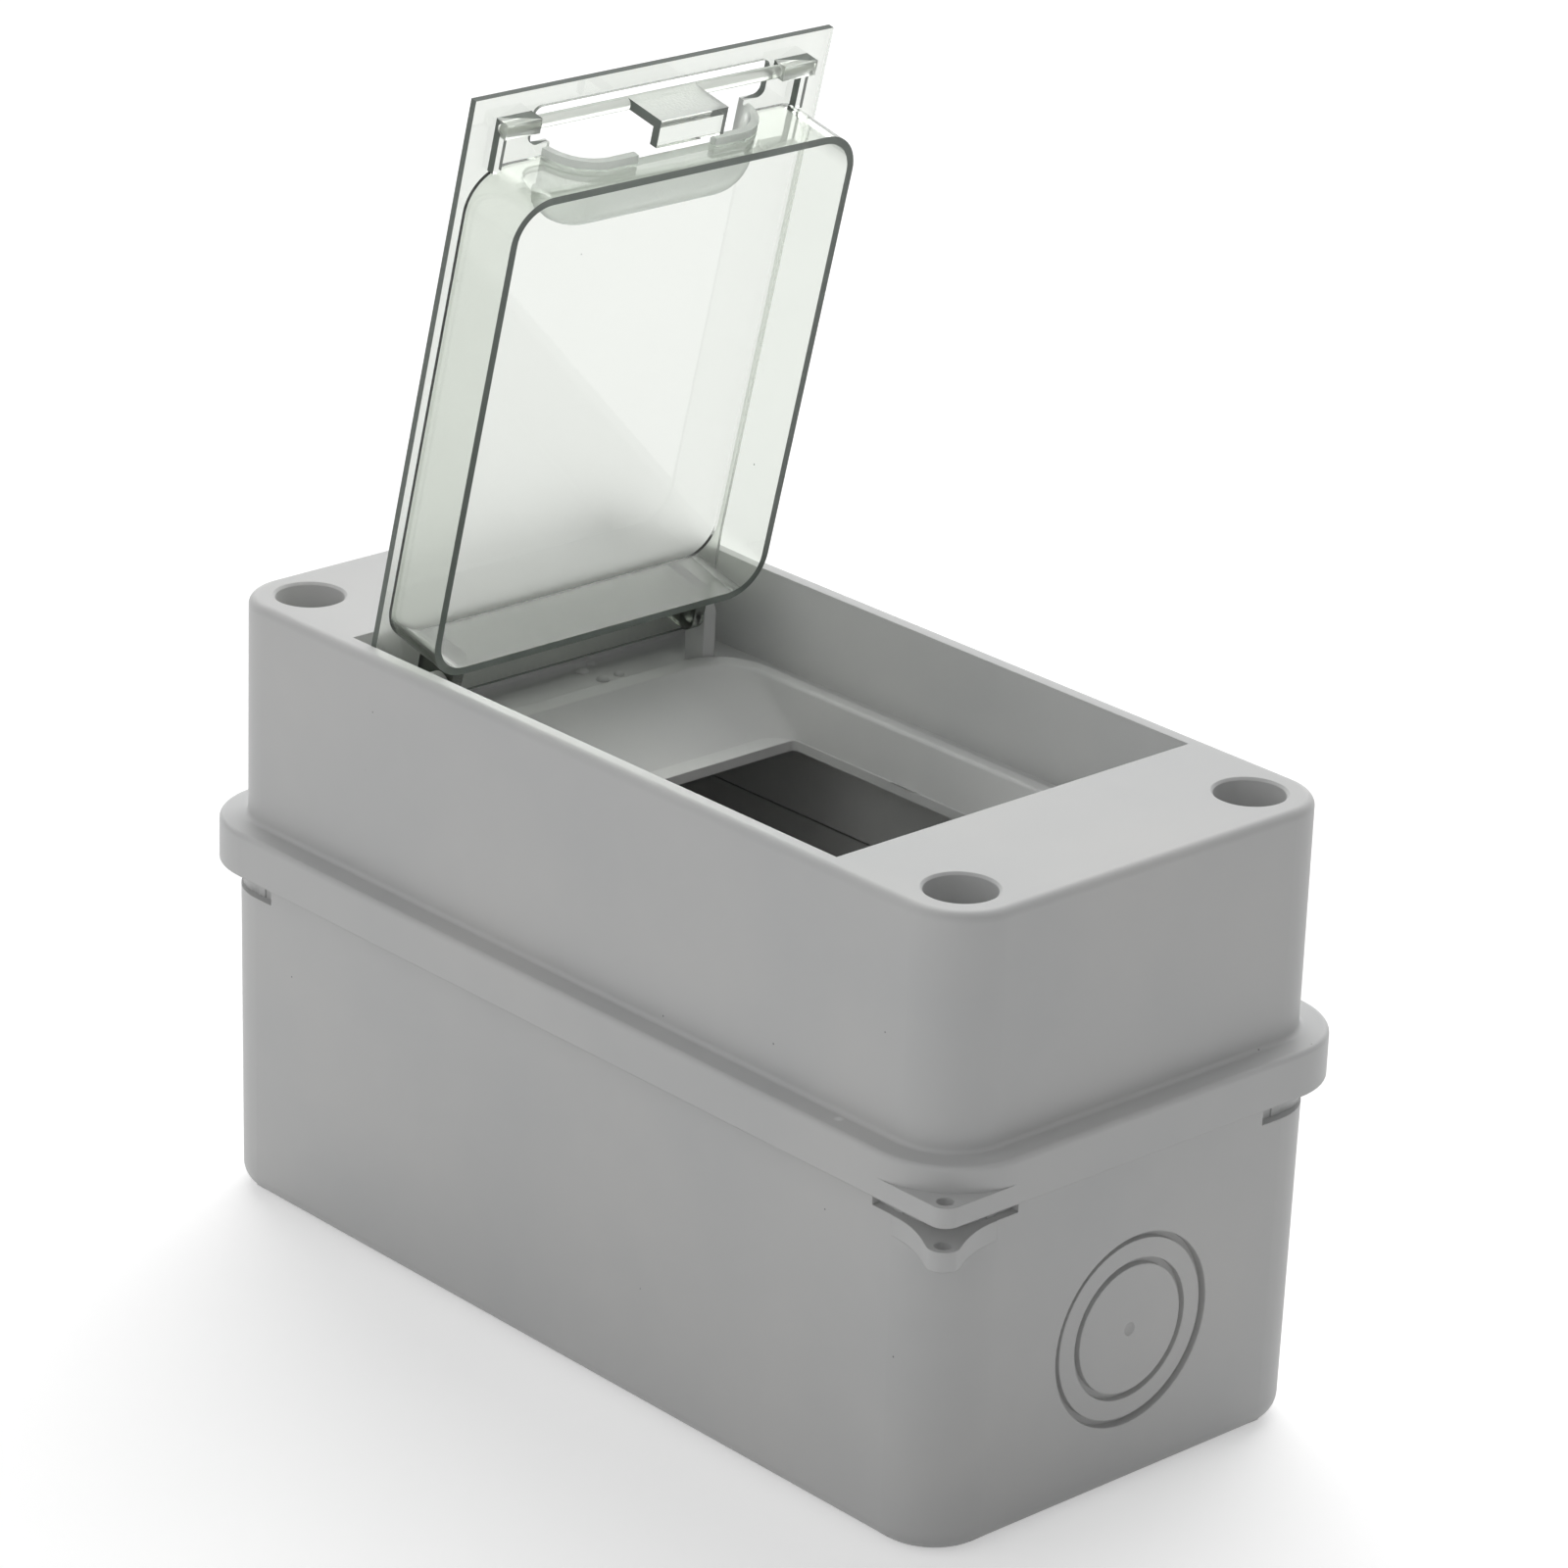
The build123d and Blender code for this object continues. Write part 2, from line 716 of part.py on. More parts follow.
# Latch: the torsion bar with its hooked tongue
with BuildPart() as door_latch:
    with BuildSketch(door_side):
        with Locations((bar_x, bar_z)):
            Circle(bar_radius)
    extrude(amount=bar_length / 2, both=True)
    with BuildSketch(door_side):
        with Locations((bar_x, bar_z)):
            Circle(bar_pin_radius)
    extrude(amount=bar_pin_length / 2, both=True)
    with BuildSketch(door_side):
        with BuildLine():
            Polyline(
                (tongue_outer, bar_z),
                (tongue_outer, tongue_tip),
                (tongue_inner - tongue_lip, tongue_tip),
                (tongue_inner - tongue_lip, tongue_tip + tongue_lip_thickness),
                (tongue_inner, tongue_tip + tongue_lip_thickness),
                (tongue_inner, bar_z),
                close=True,
            )
        make_face()
    extrude(amount=tongue_width / 2, both=True)

# Top-hat rail, folded from one strip
with BuildPart() as din_rail:
    sheet_middle = rail_plane - rail_sheet / 2
    web_middle = rail_plane - rail_depth + rail_sheet / 2
    hat_half = rail_hat_width / 2 - rail_sheet / 2
    with BuildSketch(Plane.XZ):
        with BuildLine():
            FilletPolyline(
                (-rail_width / 2, sheet_middle),
                (-hat_half, sheet_middle),
                (-hat_half, web_middle),
                (hat_half, web_middle),
                (hat_half, sheet_middle),
                (rail_width / 2, sheet_middle),
                radius=rail_sheet,
            )
        trace(line_width=rail_sheet)
    extrude(amount=rail_length / 2, both=True)
    with BuildSketch(Plane.XY.offset(rail_bottom)):
        with GridLocations(0, rail_slot_pitch, 1, 3):
            SlotOverall(rail_slot_length, rail_slot_width, rotation=90)
    extrude(amount=2 * rail_sheet, mode=Mode.SUBTRACT)


def pan_screw(x, y, seat, length, name):
    """Pan-head screw with a cross drive, its head on a seat and its shank pointing down."""
    with BuildPart() as screw:
        with BuildSketch(Plane.XY.offset(seat)):
            with Locations((x, y)):
                Circle(screw_head_radius)
        extrude(amount=screw_head_height)
        fillet(screw.edges().sort_by(Axis.Z)[-1], screw_head_height / 2)
        with BuildSketch(Plane.XY.offset(seat)):
            with Locations((x, y)):
                Circle(screw_radius)
        extrude(amount=-length)
        chamfer(screw.edges().sort_by(Axis.Z)[0], screw_radius / 4)
        with BuildSketch(Plane.XY.offset(seat + screw_head_height)):
            with Locations((x, y)):
                Rectangle(drive_span, drive_width)
                Rectangle(drive_width, drive_span)
        extrude(amount=-drive_depth, mode=Mode.SUBTRACT)
    screw.part.label = name
    return screw.part


def washer(x, y):
    """Sealing washer on the floor of a screw well."""
    with BuildPart() as disc:
        extrude(
            discs([(x, y)], washer_radius, ceiling + well_floor)
            - discs([(x, y)], screw_radius + thread_fit, ceiling + well_floor),
            amount=washer_thickness,
        )
    return disc.part


def insert(x, y):
    """Threaded insert pressed into the top of a corner post."""
    with BuildPart() as bush:
        extrude(
            discs([(x, y)], insert_radius, ceiling) - discs([(x, y)], screw_radius + thread_fit, ceiling),
            amount=-insert_length,
        )
    return bush.part


pieces = {
    "base": base.part,
    "cover_seal": cover_seal.part,
    "cover": cover.part,
    "door": door.part,
    "door_latch": door_latch.part,
    "din_rail": din_rail.part,
}
for number, (corner_x, corner_y) in enumerate(four_corners, start=1):
    screw_seat = ceiling + well_floor + washer_thickness
    pieces[f"cover_screw_{number}"] = pan_screw(
        corner_x, corner_y, screw_seat, screw_length, f"cover_screw_{number}"
    )
    pieces[f"screw_seal_{number}"] = washer(corner_x, corner_y)
    pieces[f"threaded_insert_{number}"] = insert(corner_x, corner_y)
for number, (pedestal_x, pedestal_y) in enumerate(pedestals, start=1):
    pieces[f"rail_screw_{number}"] = pan_screw(
        pedestal_x, pedestal_y, rail_bottom + rail_sheet, rail_screw_length, f"rail_screw_{number}"
    )

os.makedirs("parts", exist_ok=True)
for name, solid in pieces.items():
    solid.label = name
    export_step(solid, f"parts/{name}.step")
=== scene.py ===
"""Looks of an electrical distribution box with a clear door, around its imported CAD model.

The CAD nodes keep their shapes and get their finishes here. The clear door and its latch are
dressed on copies with smooth surfaces, and the screws and threaded inserts get their threads,
drives and knurls. The box stands on its back on a pale floor, door open.
"""

import logging
import math
from dataclasses import dataclass
from enum import Enum
from typing import Any, Callable, Iterable, Optional, Sequence

import bmesh
import bpy
from bmesh.types import BMesh, BMFace, BMVert
from bpy.types import ID, Material, Mesh, Node, NodeSocket, NodeTree, Object
from mathutils import Matrix, Vector


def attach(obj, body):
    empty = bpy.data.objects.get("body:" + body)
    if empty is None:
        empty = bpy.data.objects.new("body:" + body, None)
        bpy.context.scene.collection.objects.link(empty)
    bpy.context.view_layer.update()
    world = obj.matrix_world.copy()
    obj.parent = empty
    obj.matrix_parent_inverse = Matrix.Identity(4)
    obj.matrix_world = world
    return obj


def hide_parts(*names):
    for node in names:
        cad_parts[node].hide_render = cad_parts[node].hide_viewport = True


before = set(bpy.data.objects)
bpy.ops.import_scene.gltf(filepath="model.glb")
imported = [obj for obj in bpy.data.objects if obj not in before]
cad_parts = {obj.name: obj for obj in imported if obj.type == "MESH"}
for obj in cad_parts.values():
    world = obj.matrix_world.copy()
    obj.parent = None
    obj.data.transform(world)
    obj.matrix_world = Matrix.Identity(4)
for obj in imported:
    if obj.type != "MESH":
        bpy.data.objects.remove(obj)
log = logging.getLogger("distribution_box")

MM = 0.001

# Band that holds most values of a noise pattern
NOISE_BAND = (0.3, 0.7)
# How much finer detail a noise pattern has
PLAIN_NOISE = 1.0
SOFT_NOISE = 2.0
RICH_NOISE = 3.0
# Distance at which a spot has faded away, as a multiple of its radius
SPOT_FADE = 1.6
# Points of a CAD mesh that are nearer than this are one point, in millimetres
JOIN_DISTANCE = 0.002


class Body(Enum):
    """The moving bodies of the box."""

    HOUSING = "housing"
    DOOR = "door"
    LATCH = "latch"


class Slot(Enum):
    """Names of material slots for the new pieces; nothing in this script uses them."""

    HOUSING = "housing"
    DOOR = "door_clear"
    SCREW = "screw_steel"
    INSERT = "insert_brass"


class ClearFinish(Enum):
    """The finishes of a clear moulding, as material numbers of its mesh; EDGE, WALL, BAR, HEEL
    and PRESSED are darker copies that carry painted shade.
    """

    CLEAR = 0
    FROSTED = 1
    HAZY = 2
    EDGE = 3
    WALL = 4
    BAR = 5
    HEEL = 6
    PRESSED = 7


def linear(colour: str) -> tuple[float, float, float, float]:
    """Turns an sRGB hex colour into linear values for a shader.

    Args:
        colour: Six hex digits with a leading hash.

    Returns:
        Red, green, blue and an alpha of one.
    """
    parts = [int(colour[start:start + 2], 16) / 255 for start in (1, 3, 5)]
    red, green, blue = (
        part / 12.92 if part <= 0.04045 else ((part + 0.055) / 1.055) ** 2.4 for part in parts
    )
    return red, green, blue, 1.0


def add_node(
    tree: NodeTree,
    kind: str,
    settings: Optional[dict[str, Any]] = None,
    values: Optional[dict[Any, Any]] = None,
    links: Optional[dict[Any, NodeSocket]] = None,
) -> Node:
    """Adds a node with its settings, input values and incoming links.

    Args:
        tree: The node tree that gets the node.
        kind: The node's type name.
        settings: Properties of the node itself.
        values: Input values by the input's name or number.
        links: Output sockets by the name or number of the input that they feed.

    Returns:
        The new node.
    """
    node = tree.nodes.new(kind)
    for name, value in (settings or {}).items():
        setattr(node, name, value)
    for name, value in (values or {}).items():
        node.inputs[name].default_value = value
    for name, socket in (links or {}).items():
        tree.links.new(socket, node.inputs[name])
    return node


def empty_material(name: str) -> Material:
    """Makes a material with an empty node tree.

    Args:
        name: The material's name.

    Returns:
        The material.
    """
    material = bpy.data.materials.new(name)
    material.use_nodes = True
    material.node_tree.nodes.clear()
    return material


def object_place(tree: NodeTree, squeeze: Sequence[float] = (1, 1, 1)) -> NodeSocket:
    """Adds the place on the object, which keeps a pattern fixed to it.

    Args:
        tree: The node tree.
        squeeze: How much each axis is squeezed, which draws a pattern out along the others.

    Returns:
        The place's socket.
    """
    place = add_node(tree, "ShaderNodeTexCoord")
    squeezed = add_node(
        tree, "ShaderNodeMapping",
        values={"Scale": squeeze},
        links={"Vector": place.outputs["Object"]},
    )
    return squeezed.outputs["Vector"]


def object_noise(
    tree: NodeTree,
    grain: float,
    detail: float,
    squeeze: Sequence[float] = (1, 1, 1),
) -> NodeSocket:
    """Adds a noise pattern fixed to the object.

    Args:
        tree: The node tree.
        grain: Size of the grain in millimetres.
        detail: How much finer detail the noise has.
        squeeze: How much each axis is squeezed.

    Returns:
        The pattern's socket.
    """
    noise = add_node(
        tree, "ShaderNodeTexNoise",
        values={"Scale": 1 / (grain * MM), "Detail": detail},
        links={"Vector": object_place(tree, squeeze)},
    )
    return noise.outputs["Fac"]


def map_range(
    tree: NodeTree,
    source: NodeSocket,
    band: tuple[float, float],
    target: tuple[float, float] = (0.0, 1.0),
) -> NodeSocket:
    """Maps a band of a value onto a range of its own, and holds it within that range.

    Args:
        tree: The node tree.
        source: The value.
        band: The band's low and high end.
        target: What the band's low and high end become.

    Returns:
        The mapped value's socket.
    """
    mapped = add_node(
        tree, "ShaderNodeMapRange",
        values=dict(zip(("From Min", "From Max", "To Min", "To Max"), band + target)),
        links={"Value": source},
    )
    return mapped.outputs["Result"]


def sparse_spots(
    tree: NodeTree,
    spacing: float,
    size: float,
    squeeze: Sequence[float] = (1, 1, 1),
) -> NodeSocket:
    """Marks small spots scattered over the object.

    Args:
        tree: The node tree.
        spacing: Mean distance between spots in millimetres.
        size: Radius of a spot in millimetres.
        squeeze: How much each axis is squeezed.

    Returns:
        A socket that is 1 on a spot and 0 elsewhere.
    """
    cells = add_node(
        tree, "ShaderNodeTexVoronoi",
        values={"Scale": 1 / (spacing * MM)},
        links={"Vector": object_place(tree, squeeze)},
    )
    near = size / spacing
    return map_range(tree, cells.outputs["Distance"], (near, SPOT_FADE * near), (1.0, 0.0))


def tint_between(tree: NodeTree, factor: NodeSocket, first: str, second: str) -> NodeSocket:
    """Blends two colours by a factor.

    Args:
        tree: The node tree.
        factor: Blend from the first colour at 0 to the second at 1.
        first: Hex colour.
        second: Hex colour.

    Returns:
        The blended colour's socket.
    """
    ramp = add_node(tree, "ShaderNodeValToRGB", links={"Fac": factor})
    ramp.color_ramp.elements[0].color = linear(first)
    ramp.color_ramp.elements[1].color = linear(second)
    return ramp.outputs["Color"]


def bumped(
    tree: NodeTree,
    height: NodeSocket,
    strength: float,
    depth: float,
    normal: Optional[NodeSocket] = None,
) -> NodeSocket:
    """Adds a bump to a surface.

    Args:
        tree: The node tree.
        height: The bump's pattern.
        strength: How much of the bump shows.
        depth: Height of the bump in millimetres.
        normal: The normal that it adds to, if not the mesh's own.

    Returns:
        The bumped normal's socket.
    """
    links = {"Height": height}
    if normal:
        links["Normal"] = normal
    bump = add_node(
        tree, "ShaderNodeBump",
        values={"Strength": strength, "Distance": depth * MM},
        links=links,
    )
    return bump.outputs["Normal"]


def mix_shaders(tree: NodeTree, factor: NodeSocket, first: Node, second: Node) -> Node:
    """Adds a blend of two shaders.

    Args:
        tree: The node tree.
        factor: Blend from the first shader at 0 to the second at 1.
        first: Shader node.
        second: Shader node.

    Returns:
        The blend's node.
    """
    links = {0: factor, 1: first.outputs[0], 2: second.outputs[0]}
    return add_node(tree, "ShaderNodeMixShader", links=links)


def shown(material: Material, surface: Node) -> Material:
    """Ends a material's tree in the shader that makes its surface.

    Args:
        material: The material.
        surface: Shader node.

    Returns:
        The material.
    """
    links = {"Surface": surface.outputs[0]}
    add_node(material.node_tree, "ShaderNodeOutputMaterial", links=links)
    return material


@dataclass(frozen=True)
class MouldedPlastic:
    """Light grey moulded ABS with a fine spark-eroded satin skin.

    The eye sees an even grey with a broad soft sheen, faint flow marks, a very fine grain,
    a few dark specks of regrind and pale scuffs, and moulded edges that catch a thin line of
    light.
    """

    name: str = "grey_moulded_abs"
    colour: str = "#CFCFCE"
    shade: str = "#C6C7C7"
    roughness: tuple[float, float] = (0.40, 0.52)
    flow_size: float = 38.0
    grain_size: float = 0.45
    grain_strength: float = 0.10
    grain_depth: float = 0.05
    speck: str = "#77787A"
    speck_spacing: float = 9.0
    speck_radius: float = 0.12
    scuff: str = "#E9EAEA"
    scuff_spacing: float = 17.0
    scuff_radius: float = 0.11
    scuff_squeeze: tuple[float, float, float] = (0.14, 0.14, 1.0)
    edge_round: float = 0.28
    edge_samples: int = 4
    ior: float = 1.52

    def build(self) -> Material:
        """Builds the material.

        Returns:
            The material.
        """
        material = empty_material(self.name)
        tree = material.node_tree
        flow = object_noise(tree, self.flow_size, RICH_NOISE)
        specks = sparse_spots(tree, self.speck_spacing, self.speck_radius)
        scuffs = sparse_spots(tree, self.scuff_spacing, self.scuff_radius, self.scuff_squeeze)
        colour = tint_between(tree, map_range(tree, flow, NOISE_BAND), self.shade, self.colour)
        for spots, tint in ((specks, self.speck), (scuffs, self.scuff)):
            spotted = add_node(
                tree, "ShaderNodeMix",
                settings={"data_type": "RGBA"},
                values={7: linear(tint)},
                links={0: spots, 6: colour},
            )
            colour = spotted.outputs[2]
        grain = object_noise(tree, self.grain_size, SOFT_NOISE)
        rounded = add_node(
            tree, "ShaderNodeBevel",
            settings={"samples": self.edge_samples},
            values={"Radius": self.edge_round * MM},
        )
        surface = add_node(
            tree, "ShaderNodeBsdfPrincipled",
            values={"IOR": self.ior},
            links={
                "Base Color": colour,
                "Roughness": map_range(tree, flow, NOISE_BAND, self.roughness),
                "Normal": bumped(
                    tree, grain, self.grain_strength, self.grain_depth,
                    rounded.outputs["Normal"],
                ),
            },
        )
        return shown(material, surface)


@dataclass(frozen=True)
class ClearPolycarbonate:
    """Clear moulded polycarbonate with a trace of smoke green.

    The eye sees a nearly colourless pane. Its own tint is a trace of smoke green; where the
    surface is seen edge on, the colour is darkened to grey-green as painted shade for the dark
    edges and outlines of a clear moulding, and the finishes for edges, walls, the bar, the
    heel and the tongue carry darker colours as painted shade too. Where the tool was left
    matt, it is finely frosted.
    A few specks of dust lie on it. The colour is that of two skins, one on each side.
    """

    name: str = "clear_polycarbonate"
    colour: str = "#EEF1EC"
    # Painted shade: the colour is blended towards this darker one as the surface turns edge
    # on, between these two facings.
    painted_edge_shade: str = "#5F6761"
    painted_edge_shade_from: float = 0.60
    painted_edge_shade_full: float = 0.96
    roughness: float = 0.03
    bloom: float = 0.0
    bloom_fade: tuple[float, float] = (0.15, 0.5)
    clearness: float = 1.0
    grain_size: float = 0.5
    grain_strength: float = 0.02
    ripple_size: float = 26.0
    ripple_strength: float = 0.05
    skin_depth: float = 0.1
    dust: str = "#B9BDB8"
    dust_spacing: float = 13.0
    dust_radius: float = 0.11
    ior: float = 1.585

    def edge_on(self, tree: NodeTree) -> NodeSocket:
        """Adds how far the surface is seen edge on, from 0 to 1."""
        weight = add_node(tree, "ShaderNodeLayerWeight")
        return weight.outputs["Facing"]

    def skin_normal(self, tree: NodeTree) -> NodeSocket:
        """Adds the moulded skin's long ripple and fine grain.

        Args:
            tree: The node tree.

        Returns:
            The skin's normal.
        """
        grain = object_noise(tree, self.grain_size, PLAIN_NOISE)
        ripple = object_noise(tree, self.ripple_size, PLAIN_NOISE)
        waved = bumped(tree, ripple, self.ripple_strength, self.skin_depth)
        return bumped(tree, grain, self.grain_strength, self.skin_depth, waved)

    def tint_and_painted_edge_shade(self, tree: NodeTree) -> NodeSocket:
        """Adds the tint, with painted shade that darkens it where the surface is seen edge on.

        Args:
            tree: The node tree.

        Returns:
            The colour's socket.
        """
        # Painted shade: blends the tint towards the darker edge colour by how far the surface
        # is seen edge on.
        painted_shade_amount = map_range(tree, self.edge_on(tree), (self.painted_edge_shade_from, self.painted_edge_shade_full))
        return tint_between(tree, painted_shade_amount, self.colour, self.painted_edge_shade)

    def skin_gloss(self, tree: NodeTree) -> NodeSocket:
        """Adds the bloom, which blurs what is seen straight through and fades edge on.

        Args:
            tree: The node tree.

        Returns:
            The roughness socket.
        """
        return map_range(
            tree,
            self.edge_on(tree),
            self.bloom_fade,
            (self.roughness + self.bloom, self.roughness),
        )

    def build(self) -> Material:
        """Builds the material.

        Returns:
            The material.
        """
        material = empty_material(self.name)
        tree = material.node_tree
        skin = {"Base Color": self.tint_and_painted_edge_shade(tree), "Normal": self.skin_normal(tree)}
        if self.bloom:
            skin["Roughness"] = self.skin_gloss(tree)
        glass = add_node(
            tree, "ShaderNodeBsdfPrincipled",
            values={
                "Transmission Weight": self.clearness,
                "IOR": self.ior,
                "Roughness": self.roughness,
            },
            links=skin,
        )
        dust = add_node(tree, "ShaderNodeBsdfDiffuse", values={"Color": linear(self.dust)})
        spots = sparse_spots(tree, self.dust_spacing, self.dust_radius)
        dusty = mix_shaders(tree, spots, glass, dust)
        # Light passes straight through each skin, tinted by its half of the colour, so the
        # darker finishes with painted shade also darken the light that they let through.
        light = add_node(tree, "ShaderNodeLightPath")
        one_skin = tuple(math.sqrt(part) for part in linear(self.colour))
        open_way = add_node(tree, "ShaderNodeBsdfTransparent", values={"Color": one_skin})
        mixed = mix_shaders(tree, light.outputs["Is Shadow Ray"], dusty, open_way)
        return shown(material, mixed)


@dataclass(frozen=True)
class BlackRubber:
    """Black moulded EPDM: a dull skin with a trace of bloom."""

    name: str = "black_epdm_rubber"
    colour: str = "#1C1C1D"
    bloom: str = "#2B2B2C"
    roughness: tuple[float, float] = (0.62, 0.82)
    grain_size: float = 0.8
    grain_strength: float = 0.25
    grain_depth: float = 0.05

    def build(self) -> Material:
        """Builds the material.

        Returns:
            The material.
        """
        material = empty_material(self.name)
        tree = material.node_tree
        grain = object_noise(tree, self.grain_size, RICH_NOISE)
        surface = add_node(
            tree, "ShaderNodeBsdfPrincipled",
            links={
                "Base Color": tint_between(tree, grain, self.colour, self.bloom),
                "Roughness": map_range(tree, grain, NOISE_BAND, self.roughness),
                "Normal": bumped(tree, grain, self.grain_strength, self.grain_depth),
            },
        )
        return shown(material, surface)


@dataclass(frozen=True)
class PlainMetal:
    """A metal with fine working marks: rolled, drawn or turned.

    The eye sees a soft metallic sheen, drawn out along the marks, with slight clouds of tone.
    """

    name: str
    colour: str
    cloud: str
    roughness: tuple[float, float]
    cloud_size: float = 4.0
    mark_size: float = 0.35
    mark_squeeze: tuple[float, float, float] = (1.0, 1.0, 1.0)
    mark_strength: float = 0.15
    mark_depth: float = 0.03

    def build(self) -> Material:
        """Builds the material.

        Returns:
            The material.
        """
        material = empty_material(self.name)
        tree = material.node_tree
        clouds = object_noise(tree, self.cloud_size, RICH_NOISE)
        marks = object_noise(tree, self.mark_size, SOFT_NOISE, self.mark_squeeze)
        surface = add_node(
            tree, "ShaderNodeBsdfPrincipled",
            values={"Metallic": 1.0},
            links={
                "Base Color": tint_between(
                    tree, map_range(tree, clouds, NOISE_BAND), self.cloud, self.colour
                ),
                "Roughness": map_range(tree, marks, NOISE_BAND, self.roughness),
                "Normal": bumped(tree, marks, self.mark_strength, self.mark_depth),
            },
        )
        return shown(material, surface)


GREY_ABS = MouldedPlastic()
CLEAR_FINISHES = {
    ClearFinish.CLEAR: ClearPolycarbonate(),
    ClearFinish.FROSTED: ClearPolycarbonate(
        name="frosted_polycarbonate", colour="#E9EDE8", painted_edge_shade="#A4ABA5",
        roughness=0.36, clearness=0.5, grain_strength=0.6,
    ),
    ClearFinish.HAZY: ClearPolycarbonate(
        name="hazy_polycarbonate", roughness=0.08, bloom=0.34
    ),
    # Painted shade: the narrow edges get a dark grey-green, mostly diffuse colour for the dark
    # look of an edge that is looked into lengthwise.
    ClearFinish.EDGE: ClearPolycarbonate(
        name="polycarbonate_edge_painted_shade", colour="#5F6761", painted_edge_shade="#3E4540",
        roughness=0.55, clearness=0.15,
    ),
    # Painted shade: the walls get a slightly darker colour than the pane, and darken sooner
    # edge on.
    ClearFinish.WALL: ClearPolycarbonate(
        name="polycarbonate_wall_painted_shade", colour="#E4E8E2", painted_edge_shade="#59615A", painted_edge_shade_from=0.36
    ),
    # Painted shade: the bar and the anchors get a light grey, partly diffuse colour in place
    # of the shade that a clear round bar shows.
    ClearFinish.BAR: ClearPolycarbonate(
        name="polycarbonate_bar_painted_shade", colour="#DDE1DA", painted_edge_shade="#5F6761",
        painted_edge_shade_from=0.5, roughness=0.3, clearness=0.8,
    ),
    # Painted shade: the arms and the wall by the hinge get a dark grey-green colour, which
    # also darkens the light that passes them.
    ClearFinish.HEEL: ClearPolycarbonate(
        name="polycarbonate_heel_painted_shade", colour="#686D65", painted_edge_shade="#4E554F",
        painted_edge_shade_from=0.42, roughness=0.25,
    ),
    # Painted shade: the tongue's frosted face is a darker copy of the frosted finish.
    ClearFinish.PRESSED: ClearPolycarbonate(
        name="frosted_polycarbonate_tongue_painted_shade", colour="#CDD2CB", painted_edge_shade="#8E958F",
        roughness=0.36, clearness=0.5, grain_strength=0.8,
    ),
}
RUBBER = BlackRubber()
RAIL_STEEL = PlainMetal(
    name="passivated_rolled_steel",
    colour="#D6D2C4",
    cloud="#BDB9AC",
    roughness=(0.24, 0.38),
    mark_squeeze=(1.0, 0.04, 1.0),
)
SCREW_STEEL = PlainMetal(
    name="bright_zinc_plated_steel",
    colour="#D2D4D6",
    cloud="#B9BDC2",
    roughness=(0.2, 0.34),
)
BRASS = PlainMetal(
    name="turned_brass", colour="#D8B266", cloud="#C49C4F", roughness=(0.2, 0.36)
)


def add_object(name: str, data: ID) -> Object:
    """Makes an object and links it to the scene.

    Args:
        name: The object's name.
        data: Its mesh, lamp or camera.

    Returns:
        The object.
    """
    made = bpy.data.objects.new(name, data)
    bpy.context.scene.collection.objects.link(made)
    return made


def take_mesh(source: BMesh, name: str) -> Mesh:
    """Turns a bmesh into a mesh.

    Args:
        source: The bmesh. It is freed.
        name: Name of the mesh.

    Returns:
        The mesh.
    """
    mesh = bpy.data.meshes.new(name)
    source.to_mesh(mesh)
    source.free()
    return mesh


def new_piece(
    mesh_maker: BMesh,
    name: str,
    materials: Sequence[Material],
    crease: float = 30.0,
) -> Object:
    """Turns a finished bmesh into a smooth-shaded piece with sharp creases.

    Args:
        mesh_maker: The mesh, in metres in the part's frame. It is freed.
        name: Name of the piece.
        materials: Materials in slot order.
        crease: Angle in degrees past which an edge is drawn sharp.

    Returns:
        The linked object.
    """
    limit = math.radians(crease)
    for face in mesh_maker.faces:
        face.smooth = True
    for edge in mesh_maker.edges:
        edge.smooth = len(edge.link_faces) == 2 and edge.calc_face_angle(0) < limit
    mesh = take_mesh(mesh_maker, name)
    for material in materials:
        mesh.materials.append(material)
    return add_object(name, mesh)


def merged_copy(node_name: str) -> BMesh:
    """Copies a CAD node's mesh and joins its loose triangles.

    Args:
        node_name: The CAD node.

    Returns:
        The joined mesh.
    """
    joined = bmesh.new()
    joined.from_mesh(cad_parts[node_name].data)
    for layer in list(joined.loops.layers.uv):
        joined.loops.layers.uv.remove(layer)
    bmesh.ops.remove_doubles(joined, verts=joined.verts, dist=JOIN_DISTANCE * MM)
    return joined


def settle(piece: Object, body: Body, nodes: Iterable[str] = ()) -> None:
    """Puts a finished piece on its body, in place of CAD nodes.

    Args:
        piece: The finished piece.
        body: The body it moves with.
        nodes: CAD nodes that it replaces.
    """
    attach(piece, body.value)
    replaced = list(nodes)
    if replaced:
        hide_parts(*replaced)
    log.info("%s: %d faces on %s", piece.name, len(piece.data.polygons), body.value)


def dress_node(name: str, material: Material) -> None:
    """Gives a CAD node its finish.

    Args:
        name: The CAD node.
        material: Its finish.
    """
    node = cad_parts[name]
    if not node.material_slots:
        node.data.materials.append(material)
    for holder in node.material_slots:
        holder.material = material
    log.info("%s: dressed in %s", name, material.name)


def add_ring(target: BMesh, radii: Sequence[float], height: float) -> list[BMVert]:
    """Adds a level ring of points about the Z axis.

    Args:
        target: The mesh that gets the points.
        radii: Each point's radius in millimetres, in even steps round.
        height: Height of the ring in millimetres.

    Returns:
        The points in order.
    """
    ring = []
    for step, radius in enumerate(radii):
        angle = math.tau * step / len(radii)
        ring.append(target.verts.new((
            radius * math.cos(angle) * MM, radius * math.sin(angle) * MM, height * MM,
        )))
    return ring


